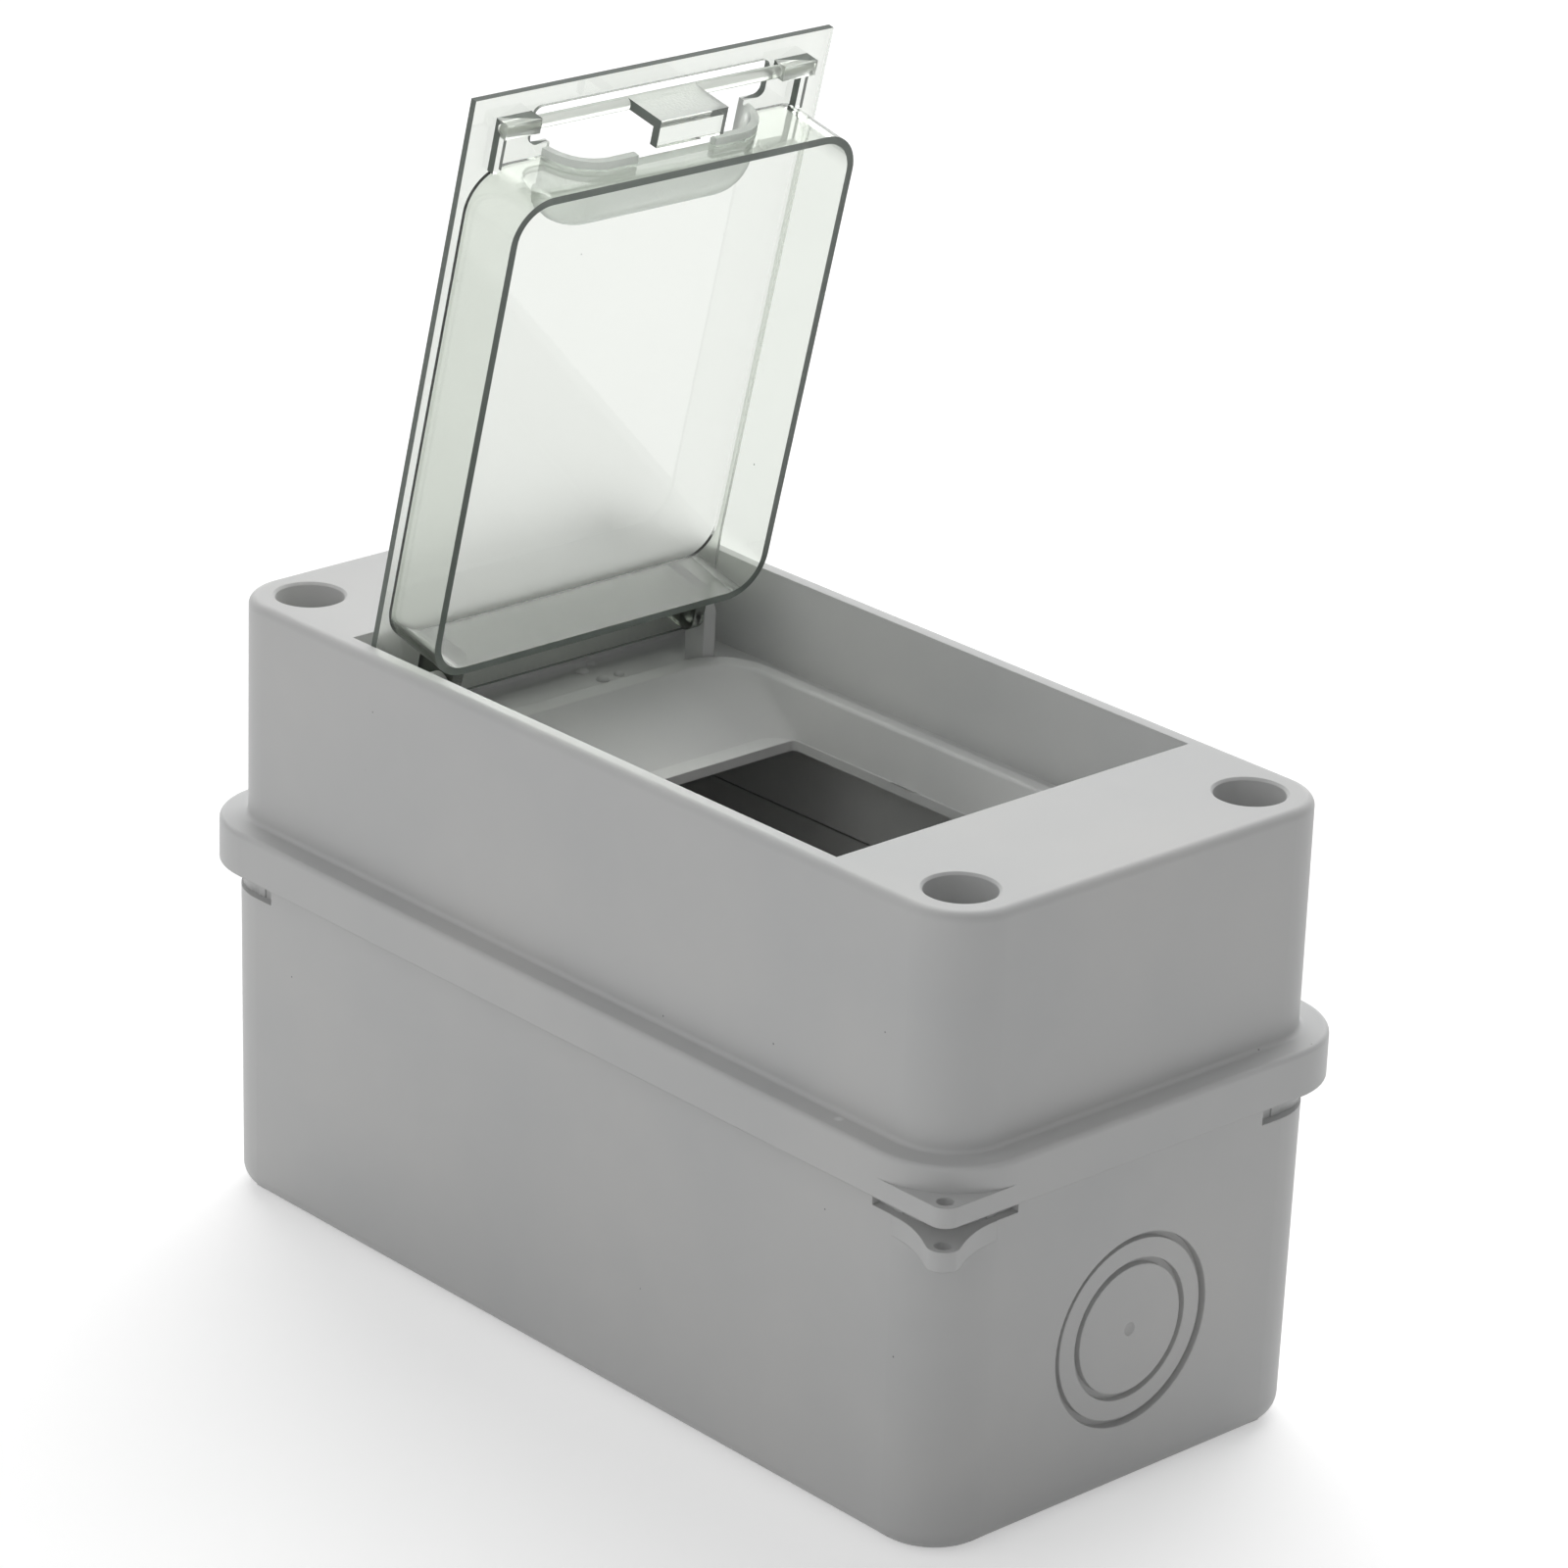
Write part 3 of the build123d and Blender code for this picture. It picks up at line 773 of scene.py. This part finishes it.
def join_rings(target: BMesh, rings: Sequence[Sequence[BMVert]]) -> None:
    """Adds the faces between each ring of points and the next.

    Args:
        target: The mesh that holds the rings.
        rings: The rings, with equally many points.
    """
    for first, second in zip(rings, rings[1:]):
        for step in range(len(first)):
            after = (step + 1) % len(first)
            target.faces.new([first[step], second[step], second[after], first[after]])


def lathe(profile: Sequence[tuple[float, float]], segments: int) -> BMesh:
    """Turns a profile about the Z axis.

    Args:
        profile: Radius and height of each point in millimetres, from axis to axis.
        segments: Number of steps round.

    Returns:
        The closed turned mesh.
    """
    turned = bmesh.new()
    rings = [
        add_ring(turned, [radius] * (segments if radius else 1), height)
        for radius, height in profile
    ]
    for low, high in zip(rings, rings[1:]):
        for step in range(segments):
            after = (step + 1) % segments
            corners = [low[step % len(low)], low[after % len(low)],
                       high[after % len(high)], high[step % len(high)]]
            kept = [v for n, v in enumerate(corners) if v not in corners[:n]]
            if len(kept) > 2:
                turned.faces.new(kept)
    bmesh.ops.recalc_face_normals(turned, faces=turned.faces)
    return turned


class CopyTree:
    """Geometry Nodes tree that sets copies of a piece on a level grid of places."""

    def __init__(self, name: str) -> None:
        """Builds the tree with named inputs for its sizes.

        Args:
            name: Name of the tree.
        """
        self.tree = bpy.data.node_groups.new(name, "GeometryNodeTree")
        face = self.tree.interface
        face.new_socket("Geometry", in_out="INPUT", socket_type="NodeSocketGeometry")
        for size in ("Size X", "Size Y", "Height"):
            face.new_socket(size, in_out="INPUT", socket_type="NodeSocketFloat")
        for count in ("Vertices X", "Vertices Y"):
            face.new_socket(count, in_out="INPUT", socket_type="NodeSocketInt")
        face.new_socket("Geometry", in_out="OUTPUT", socket_type="NodeSocketGeometry")
        given = add_node(self.tree, "NodeGroupInput")
        sizes = ("Size X", "Size Y", "Vertices X", "Vertices Y")
        links = {name: given.outputs[name] for name in sizes}
        grid = add_node(self.tree, "GeometryNodeMeshGrid", links=links)
        lift = add_node(
            self.tree, "ShaderNodeCombineXYZ", links={"Z": given.outputs["Height"]}
        )
        places = add_node(
            self.tree, "GeometryNodeSetPosition",
            links={"Geometry": grid.outputs["Mesh"], "Offset": lift.outputs["Vector"]},
        )
        copies = add_node(
            self.tree, "GeometryNodeInstanceOnPoints",
            links={
                "Points": places.outputs["Geometry"],
                "Instance": given.outputs["Geometry"],
            },
        )
        real = add_node(
            self.tree, "GeometryNodeRealizeInstances",
            links={"Geometry": copies.outputs["Instances"]},
        )
        add_node(self.tree, "NodeGroupOutput", links={"Geometry": real.outputs["Geometry"]})

    def socket(self, name: str) -> str:
        """Gives the identifier of a named input.

        Args:
            name: The input's name.

        Returns:
            Its identifier.
        """
        for item in self.tree.interface.items_tree:
            if item.in_out == "INPUT" and item.name == name:
                return item.identifier
        raise KeyError(name)

    def spread_out(
        self,
        seed_piece: Object,
        pitch: tuple[float, float],
        counts: tuple[int, int],
        height: float,
    ) -> Object:
        """Replaces a piece made at the origin by its copies on the grid, as one plain mesh.

        Args:
            seed_piece: The piece to copy. It is removed.
            pitch: Size of the grid in millimetres.
            counts: Number of places along X and Y.
            height: Height of the places in millimetres.

        Returns:
            The object with the copies.
        """
        name = seed_piece.name
        modifier = seed_piece.modifiers.new("copies", "NODES")
        modifier.node_group = self.tree
        sizes = {
            "Size X": pitch[0] * MM, "Size Y": pitch[1] * MM, "Height": height * MM,
            "Vertices X": counts[0], "Vertices Y": counts[1],
        }
        for size, value in sizes.items():
            modifier[self.socket(size)] = value
        graph = bpy.context.evaluated_depsgraph_get()
        mesh = bpy.data.meshes.new_from_object(seed_piece.evaluated_get(graph))
        seed_piece.modifiers.clear()
        bpy.data.objects.remove(seed_piece)
        mesh.name = name
        return add_object(name, mesh)


@dataclass
class PanScrew:
    """A cross-recessed pan-head screw, made at the origin with its seat at height zero."""

    head_radius: float = 3.75
    head_height: float = 2.55
    head_edge: float = 0.2
    shoulder_share: float = 0.42
    dome_share: float = 0.52
    dome_steps: int = 7
    segments: int = 40
    recess_depth: float = 1.6
    recess_span: float = 2.2
    recess_half: float = 0.42
    recess_taper: float = 0.45
    cutter_over: float = 0.2
    shank_radius: float = 1.92
    core_radius: float = 1.55
    length: float = 17.0
    pitch: float = 0.9
    point_length: float = 1.2
    point_share: float = 0.45
    steps_per_turn: int = 24
    rows_per_turn: int = 6
    crease: float = 38.0

    def head(self) -> BMesh:
        """Turns the head, with its domed top.

        Returns:
            The head's mesh.
        """
        shoulder = self.head_height * self.shoulder_share
        profile = [
            (0, 0), (self.head_radius - self.head_edge, 0), (self.head_radius, self.head_edge),
        ]
        for step in range(self.dome_steps + 1):
            angle = math.radians(90 * step / self.dome_steps)
            profile.append((
                self.head_radius * (1 - (1 - math.cos(angle)) * self.dome_share),
                shoulder + math.sin(angle) * (self.head_height - shoulder),
            ))
        profile.append((0, self.head_height))
        return lathe(profile, self.segments)

    def drive_cross(self) -> BMesh:
        """Makes the tapered cross that the drive has the shape of.

        Returns:
            The cross.
        """
        top = self.head_height + self.cutter_over
        floor = self.head_height - self.recess_depth
        half, span = self.recess_half, self.recess_span
        ring: list[tuple[float, float]] = []
        for turn in range(4):
            spin = Matrix.Rotation(-math.pi / 2 * turn, 2)
            arm = ((half, half), (span, half), (span, -half))
            ring += [tuple(spin @ Vector(point)) for point in arm]
        cross = bmesh.new()
        high, low = (
            [cross.verts.new((x * share * MM, y * share * MM, height * MM)) for x, y in ring]
            for share, height in ((1.0, top), (self.recess_taper, floor))
        )
        cross.faces.new(high)
        cross.faces.new(low)
        join_rings(cross, [high, low])
        bmesh.ops.recalc_face_normals(cross, faces=cross.faces)
        return cross

    def cut_drive(self, head: BMesh) -> BMesh:
        """Presses the cross of the drive into the head's top.

        Args:
            head: The head's mesh. It is freed.

        Returns:
            The head with its drive.
        """
        blank = add_object("drive_head", take_mesh(head, "drive_head"))
        tool = add_object("drive_cross", take_mesh(self.drive_cross(), "drive_cross"))
        cut = blank.modifiers.new("drive", "BOOLEAN")
        cut.operation = "DIFFERENCE"
        cut.object = tool
        graph = bpy.context.evaluated_depsgraph_get()
        result = bmesh.new()
        result.from_mesh(bpy.data.meshes.new_from_object(blank.evaluated_get(graph)))
        bpy.data.objects.remove(tool)
        bpy.data.objects.remove(blank)
        return result

    def thread(self, target: BMesh) -> None:
        """Adds the threaded shank under the head, closed at its point.

        Args:
            target: The mesh that gets the shank.
        """
        rows = int(self.length / self.pitch * self.rows_per_turn)
        rings: list[list[BMVert]] = []
        for row in range(rows + 1):
            depth = self.length * row / rows
            left = (self.length - depth) / self.point_length
            taper = min(1.0, self.point_share + (1 - self.point_share) * left)
            radii = []
            for step in range(self.steps_per_turn):
                phase = (depth / self.pitch + step / self.steps_per_turn) % 1.0
                crest = 1 - abs(2 * phase - 1)
                rise = (self.shank_radius - self.core_radius) * crest
                radii.append((self.core_radius + rise) * taper)
            rings.append(add_ring(target, radii, -depth))
        join_rings(target, rings)
        target.faces.new(rings[-1][::-1])
        target.faces.new(rings[0])

    def build(self, name: str, material: Material) -> Object:
        """Builds one screw at the origin.

        Args:
            name: Name of the piece.
            material: Its finish.

        Returns:
            The screw.
        """
        screw = self.cut_drive(self.head())
        self.thread(screw)
        return new_piece(screw, name, [material], self.crease)


@dataclass
class KnurledInsert:
    """A threaded brass insert with a knurl, made at the origin with its top at height zero."""

    outer_radius: float = 2.85
    groove_radius: float = 2.5
    bore_radius: float = 2.0
    length: float = 7.95
    edge: float = 0.25
    groove_flanks: tuple[float, float, float, float] = (0.42, 0.46, 0.58, 0.62)
    teeth: int = 24
    tooth_depth: float = 0.16
    crease: float = 25.0

    def build(self, name: str, material: Material) -> Object:
        """Builds one insert at the origin, a knurled band each side of its groove.

        Args:
            name: Name of the piece.
            material: Its finish.

        Returns:
            The insert.
        """
        upper, groove_top, groove_foot, lower = (
            self.length * share for share in self.groove_flanks
        )
        steps = 2 * self.teeth
        plain = [self.groove_radius] * steps
        toothed = [
            self.outer_radius - (self.tooth_depth if step % 2 else 0) for step in range(steps)
        ]
        bore = [self.bore_radius] * steps
        bush = bmesh.new()
        rings = [
            add_ring(bush, radii, -depth)
            for depth, radii in (
                (0.0, plain), (self.edge, toothed), (upper, toothed), (groove_top, plain),
                (groove_foot, plain), (lower, toothed), (self.length - self.edge, toothed),
                (self.length, plain), (self.length, bore), (0.0, bore),
            )
        ]
        join_rings(bush, rings + rings[:1])
        bmesh.ops.recalc_face_normals(bush, faces=bush.faces)
        return new_piece(bush, name, [material], self.crease)


@dataclass
class Housing:
    """Base and cover with their seals, fixings and rail."""

    corner_pitch: tuple[float, float] = (155.6, 61.8)
    screw_seat: float = 69.6
    insert_top: float = 65.6
    rail_screw_pitch: float = 50.0
    rail_screw_seat: float = 28.7
    rail_screw_length: float = 12.0

    def dress(self) -> None:
        """Gives each carried-over CAD node of the housing its finish."""
        grey = GREY_ABS.build()
        rubber = RUBBER.build()
        steel = RAIL_STEEL.build()
        for name in ("base", "cover"):
            dress_node(name, grey)
        for name in ("cover_seal", *(f"screw_seal_{n}" for n in range(1, 5))):
            dress_node(name, rubber)
        dress_node("din_rail", steel)

    def fit_fixings(self) -> None:
        """Makes the screws and inserts and sets them at the corners and on the rail."""
        steel = SCREW_STEEL.build()
        brass = BRASS.build()
        copies = CopyTree("copies_at_places")
        corners = range(1, 5)
        screws = copies.spread_out(
            PanScrew().build("cover_screws", steel), self.corner_pitch, (2, 2), self.screw_seat
        )
        settle(screws, Body.HOUSING, [f"cover_screw_{n}" for n in corners])
        short = PanScrew(length=self.rail_screw_length).build("rail_screws", steel)
        rail_pitch = (0.0, self.rail_screw_pitch)
        rail_screws = copies.spread_out(short, rail_pitch, (1, 2), self.rail_screw_seat)
        settle(rail_screws, Body.HOUSING, ["rail_screw_1", "rail_screw_2"])
        insert = KnurledInsert().build("threaded_inserts", brass)
        inserts = copies.spread_out(insert, self.corner_pitch, (2, 2), self.insert_top)
        settle(inserts, Body.HOUSING, [f"threaded_insert_{n}" for n in corners])


@dataclass
class ClearDoor:
    """The clear door and the latch moulded with it.

    The finger dish and the tongue's outer face are frosted, and the plate's outer face has a
    bloom. The narrow edges, which are looked into lengthwise, carry painted shade as a dark
    grey-green colour, and so do the arms, the anchors, the bar and the wall by the hinge; the
    other walls and the tongue's frosted face are painted a little darker as painted shade too.
    """

    hinge: tuple[float, float, float] = (-47.75, 0.0, 99.4)
    open_angle: float = 76.6
    dish_along: tuple[float, float] = (79.8, 95.3)
    dish_half_width: float = 21.75
    dish_out: tuple[float, float] = (-1.6, 7.3)
    ring_planes: tuple[float, float] = (91.75, 93.1)
    ring_rim: float = -5.8
    heel_along: float = 7.2
    arms_along: float = 5.6
    anchors_along: float = 98.6
    rear_edge: float = 33.5
    plate_inner: float = 6.2
    plate_outer: float = 7.4
    rib_height: float = 1.4
    tongue_outer: float = 101.4
    tongue_half_width: float = 7.05
    slack: float = 0.05
    # How far a face looks along an axis, from 0 to 1: at least, when it is square to the axis,
    # and at most, when it is upright or drafted beside it
    square: float = 0.9
    squarer: float = 0.98
    squarest: float = 0.99
    level: float = 0.9999
    upright: float = 0.2
    drafted: float = 0.3
    crease: float = 24.0

    def along_axis(self) -> Vector:
        """Gives the direction from the hinge to the latch in the plane of the open door."""
        angle = math.radians(self.open_angle)
        return Vector((math.cos(angle), 0, math.sin(angle)))

    def out_axis(self) -> Vector:
        """Gives the direction out of the door's outer face."""
        angle = math.radians(self.open_angle)
        return Vector((-math.sin(angle), 0, math.cos(angle)))

    def place(self, point: Vector) -> Vector:
        """Gives a point's place along, across and out of the door, in millimetres."""
        reach = point / MM - Vector(self.hinge)
        return Vector((reach.dot(self.along_axis()), reach.y, reach.dot(self.out_axis())))

    def in_dish(self, middle: Vector, lean_along: float) -> bool:
        """Tells whether a face of the door belongs to the finger dish.

        Args:
            middle: The face's middle, along, across and out of the door.
            lean_along: How far the face looks along the door, from 0 to 1.

        Returns:
            True on the dish's inner and outer surface.
        """
        inside = (
            self.dish_along[0] < middle.x < self.dish_along[1]
            and abs(middle.y) < self.dish_half_width
            and self.dish_out[0] < middle.z < self.dish_out[1]
        )
        on_wall = lean_along > self.squarest and any(
            abs(middle.x - at) < self.slack for at in self.ring_planes
        )
        on_plate = abs(middle.z - self.plate_inner) < self.slack
        return inside and not on_wall and not on_plate

    def door_finish(self, face: BMFace) -> ClearFinish:
        """Picks the finish of a face of the door.

        Args:
            face: The face.

        Returns:
            Its finish.
        """
        middle = self.place(face.calc_center_median())
        looks_along = abs(face.normal.dot(self.along_axis()))
        looks_out = face.normal.dot(self.out_axis())
        if self.in_dish(middle, looks_along):
            return ClearFinish.FROSTED
        if looks_out > self.squarer and middle.z > self.plate_outer - self.slack:
            return ClearFinish.HAZY
        on_rim = looks_out < -self.square and middle.z < self.ring_rim + self.slack
        is_upright = abs(looks_out) < self.upright
        through_plate = is_upright and self.plate_inner < middle.z < self.plate_outer
        beside_rib = (
            is_upright
            and middle.x > self.ring_planes[1] + self.slack
            and self.plate_inner - self.rib_height < middle.z < self.plate_inner
        )
        # The wall, edge, heel and bar finishes picked below are darker copies that carry
        # painted shade.
        if through_plate and middle.y > self.rear_edge - self.slack:
            return ClearFinish.WALL
        if on_rim or through_plate or beside_rib:
            return ClearFinish.EDGE
        under_plate = middle.z < self.plate_inner - self.slack
        if under_plate and middle.x < self.arms_along:
            return ClearFinish.HEEL
        if under_plate and middle.x > self.anchors_along:
            return ClearFinish.BAR
        if abs(looks_out) < self.drafted and middle.z < self.plate_inner:
            by_hinge = middle.x < self.heel_along and looks_along > self.square
            return ClearFinish.HEEL if by_hinge else ClearFinish.WALL
        return ClearFinish.CLEAR

    def latch_finish(self, face: BMFace) -> ClearFinish:
        """Picks the finish of a face of the latch, frosted where a finger presses the tongue.

        Args:
            face: The face.

        Returns:
            Its finish.
        """
        middle = self.place(face.calc_center_median())
        looks_along = face.normal.dot(self.along_axis())
        # Each finish picked here is a darker copy that carries painted shade.
        if looks_along > self.square and middle.x > self.tongue_outer - self.slack:
            return ClearFinish.PRESSED
        if abs(middle.y) > self.tongue_half_width:
            return ClearFinish.BAR
        if abs(face.normal.y) > self.square:
            return ClearFinish.EDGE
        return ClearFinish.WALL

    def copy_dressed(
        self,
        node: str,
        name: str,
        finish_of: Callable[[BMFace], ClearFinish],
        materials: Sequence[Material],
    ) -> Object:
        """Copies a clear CAD node as a smooth piece with each face in its finish.

        Args:
            node: The CAD node.
            name: Name of the piece.
            finish_of: Picks a face's finish.
            materials: The finishes' materials in the order of their numbers.

        Returns:
            The piece.
        """
        clear = merged_copy(node)
        for face in clear.faces:
            face.material_index = finish_of(face).value
        piece = new_piece(clear, name, materials, self.crease)
        for polygon in piece.data.polygons:
            if abs(polygon.normal.dot(self.out_axis())) > self.level:
                polygon.use_smooth = False
        return piece

    def build(self) -> None:
        """Builds the door and its latch."""
        materials = [CLEAR_FINISHES[choice].build() for choice in ClearFinish]
        door = self.copy_dressed("door", "clear_door", self.door_finish, materials)
        settle(door, Body.DOOR, ["door"])
        latch = self.copy_dressed("door_latch", "hooked_latch", self.latch_finish, materials)
        settle(latch, Body.LATCH, ["door_latch"])


@dataclass
class MouldMarks:
    """Small traces that the mould left on the cover: gate beads and a shred of flash."""

    recess_floor: float = 90.5
    bead_places: tuple[tuple[float, float], ...] = (
        (-55.6, 9.7), (-57.4, 13.3), (-50.9, 13.8), (-50.7, 10.1),
    )
    bead_radius: float = 1.2
    bead_height: float = 0.85
    bead_sunk: float = 0.05
    bead_sizes: tuple[float, ...] = (1.0, 0.88, 0.76)
    bead_rows: int = 6
    bead_segments: int = 20
    flash_run: tuple[float, float] = (0.4, 6.4)
    flash_edge: float = 28.7
    flash_height: float = 83.9
    flash_teeth: tuple[float, ...] = (
        0.1, 0.55, 0.3, 0.9, 0.45, 1.0, 0.35, 0.75, 0.2, 0.5, 0.1,
    )
    flash_thickness: float = 0.16
    flash_lean: float = 0.5
    flash_rise: float = 0.35
    flash_root: float = 0.05
    flash_lift: float = 0.02
    crease: float = 35.0

    def add_beads(self, target: BMesh) -> None:
        """Adds the low domes that the gates left on the recess floor.

        Args:
            target: The mesh that gets the domes.
        """
        for number, (x, y) in enumerate(self.bead_places):
            size = self.bead_sizes[number % len(self.bead_sizes)]
            profile = [(0.0, -self.bead_sunk)]
            for row in range(self.bead_rows):
                angle = math.radians(90 * row / self.bead_rows)
                profile.append((
                    size * self.bead_radius * math.cos(angle),
                    size * self.bead_height * math.sin(angle) - self.bead_sunk,
                ))
            profile.append((0.0, size * self.bead_height - self.bead_sunk))
            dome = lathe(profile, self.bead_segments)
            dome.transform(Matrix.Translation(Vector((x, y, self.recess_floor)) * MM))
            mesh = take_mesh(dome, "bead")
            target.from_mesh(mesh)
            bpy.data.meshes.remove(mesh)

    def add_flash(self, target: BMesh) -> None:
        """Adds the ragged shred of flash on the window's rear edge.

        Args:
            target: The mesh that gets the shred.
        """
        start, end = self.flash_run
        step = (end - start) / (len(self.flash_teeth) - 1)
        thick = self.flash_thickness
        root = self.flash_edge + self.flash_root
        rows = []
        for number, tooth in enumerate(self.flash_teeth):
            tip = self.flash_edge - self.flash_lean * tooth
            crest = self.flash_height + self.flash_rise * tooth
            rows.append([
                target.verts.new(Vector((start + step * number, y, z)) * MM)
                for y, z in (
                    (root, self.flash_height - thick),
                    (tip, crest),
                    (tip + thick / 2, crest + thick),
                    (root + thick, self.flash_height + self.flash_lift),
                )
            ])
        join_rings(target, rows)
        target.faces.new(rows[0][::-1])
        target.faces.new(rows[-1])

    def build(self) -> None:
        """Builds the marks as one small piece on the cover."""
        marks = bmesh.new()
        self.add_beads(marks)
        self.add_flash(marks)
        bmesh.ops.recalc_face_normals(marks, faces=marks.faces)
        piece = new_piece(marks, "mould_marks", [GREY_ABS.build()], self.crease)
        settle(piece, Body.HOUSING)


@dataclass(frozen=True)
class SoftLamp:
    """A broad lamp far from the box, by the direction that it shines from."""

    name: str
    direction: tuple[float, float, float]
    strength: float
    breadth: float


@dataclass
class Studio:
    """Camera, floor, world and lamps of the product shot."""

    camera_place: tuple[float, float, float] = (679.06, -628.60, 465.70)
    azimuth: float = 46.98
    elevation: float = 22.06
    roll: float = 2.12
    sensor: float = 36.0
    lens: float = 142.6
    far_limit: float = 20.0
    floor_size: float = 6.0
    floor_colours: tuple[str, str] = ("#E4E4E4", "#EAEAEA")
    floor_grain: float = 60.0
    floor_glow: float = 0.42
    sky: float = 0.29
    lamps: tuple[SoftLamp, ...] = (
        SoftLamp("rear_softbox", (-0.55, 0.62, 0.62), 2.6, 64.0),
        SoftLamp("front_fill", (-0.35, -0.90, 0.45), 0.5, 70.0),
    )

    def set_camera(self) -> None:
        """Sets the camera at the photograph's viewing angle."""
        data = bpy.data.cameras.new("camera")
        data.sensor_width = self.sensor
        data.lens = self.lens
        data.clip_end = self.far_limit
        camera = add_object("camera", data)
        turn = Matrix.Rotation(math.radians(self.azimuth), 4, "Z")
        tilt = Matrix.Rotation(math.radians(90 - self.elevation), 4, "X")
        spin = Matrix.Rotation(math.radians(self.roll), 4, "Z")
        camera.matrix_world = (
            Matrix.Translation(Vector(self.camera_place) * MM) @ turn @ tilt @ spin
        )
        bpy.context.scene.camera = camera

    def seen_rays(self, tree: NodeTree) -> NodeSocket:
        """Adds a socket that is 1 for rays from the camera, off gloss and through glass.

        Args:
            tree: The node tree.

        Returns:
            The socket.
        """
        path = add_node(tree, "ShaderNodeLightPath")
        seen = path.outputs["Is Camera Ray"]
        for kind in ("Is Glossy Ray", "Is Transmission Ray"):
            either = add_node(
                tree, "ShaderNodeMath",
                settings={"operation": "MAXIMUM"},
                links={0: seen, 1: path.outputs[kind]},
            )
            seen = either.outputs[0]
        return seen

    def set_world(self) -> None:
        """Sets an even sky that is white where it is seen."""
        world = bpy.data.worlds.new("studio")
        bpy.context.scene.world = world
        world.use_nodes = True
        tree = world.node_tree
        tree.nodes.clear()
        light, white = (
            add_node(
                tree, "ShaderNodeBackground",
                values={"Color": (1, 1, 1, 1), "Strength": strength},
            )
            for strength in (self.sky, 1.0)
        )
        mixed = mix_shaders(tree, self.seen_rays(tree), light, white)
        add_node(tree, "ShaderNodeOutputWorld", links={"Surface": mixed.outputs[0]})

    def set_floor(self) -> None:
        """Lays the pale floor that keeps the box's shadow."""
        half = self.floor_size / 2
        plane = bmesh.new()
        corners = [(-half, -half), (half, -half), (half, half), (-half, half)]
        plane.faces.new([plane.verts.new((x, y, 0)) for x, y in corners])
        material = empty_material("pale_floor")
        tree = material.node_tree
        paper = object_noise(tree, self.floor_grain, SOFT_NOISE)
        diffuse = add_node(
            tree, "ShaderNodeBsdfDiffuse",
            links={"Color": tint_between(tree, paper, *self.floor_colours)},
        )
        seen = add_node(
            tree, "ShaderNodeMath",
            settings={"operation": "MULTIPLY"},
            values={1: self.floor_glow},
            links={0: self.seen_rays(tree)},
        )
        glow = add_node(tree, "ShaderNodeEmission", links={"Strength": seen.outputs[0]})
        both = add_node(
            tree, "ShaderNodeAddShader", links={0: diffuse.outputs[0], 1: glow.outputs[0]}
        )
        floor = new_piece(plane, "floor", [shown(material, both)])

    def set_lamps(self) -> None:
        """Sets the broad soft lamps round the box."""
        for lamp in self.lamps:
            data = bpy.data.lights.new(lamp.name, "SUN")
            data.energy = lamp.strength
            data.angle = math.radians(lamp.breadth)
            holder = add_object(lamp.name, data)
            # A glossy face mirrors the white room alone, so the closed door stays clear.
            holder.visible_glossy = False
            holder.rotation_euler = Vector(lamp.direction).to_track_quat("Z", "Y").to_euler()

    def build(self) -> None:
        """Builds the whole set."""
        self.set_camera()
        self.set_world()
        self.set_floor()
        self.set_lamps()
        bpy.context.scene.view_settings.view_transform = "Standard"


def main() -> None:
    """Dresses the box and builds the set."""
    logging.basicConfig(level=logging.INFO, format="%(name)s: %(message)s")
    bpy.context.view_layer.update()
    Studio().build()
    housing = Housing()
    housing.dress()
    housing.fit_fixings()
    MouldMarks().build()
    ClearDoor().build()


if __name__ == "__main__":
    main()
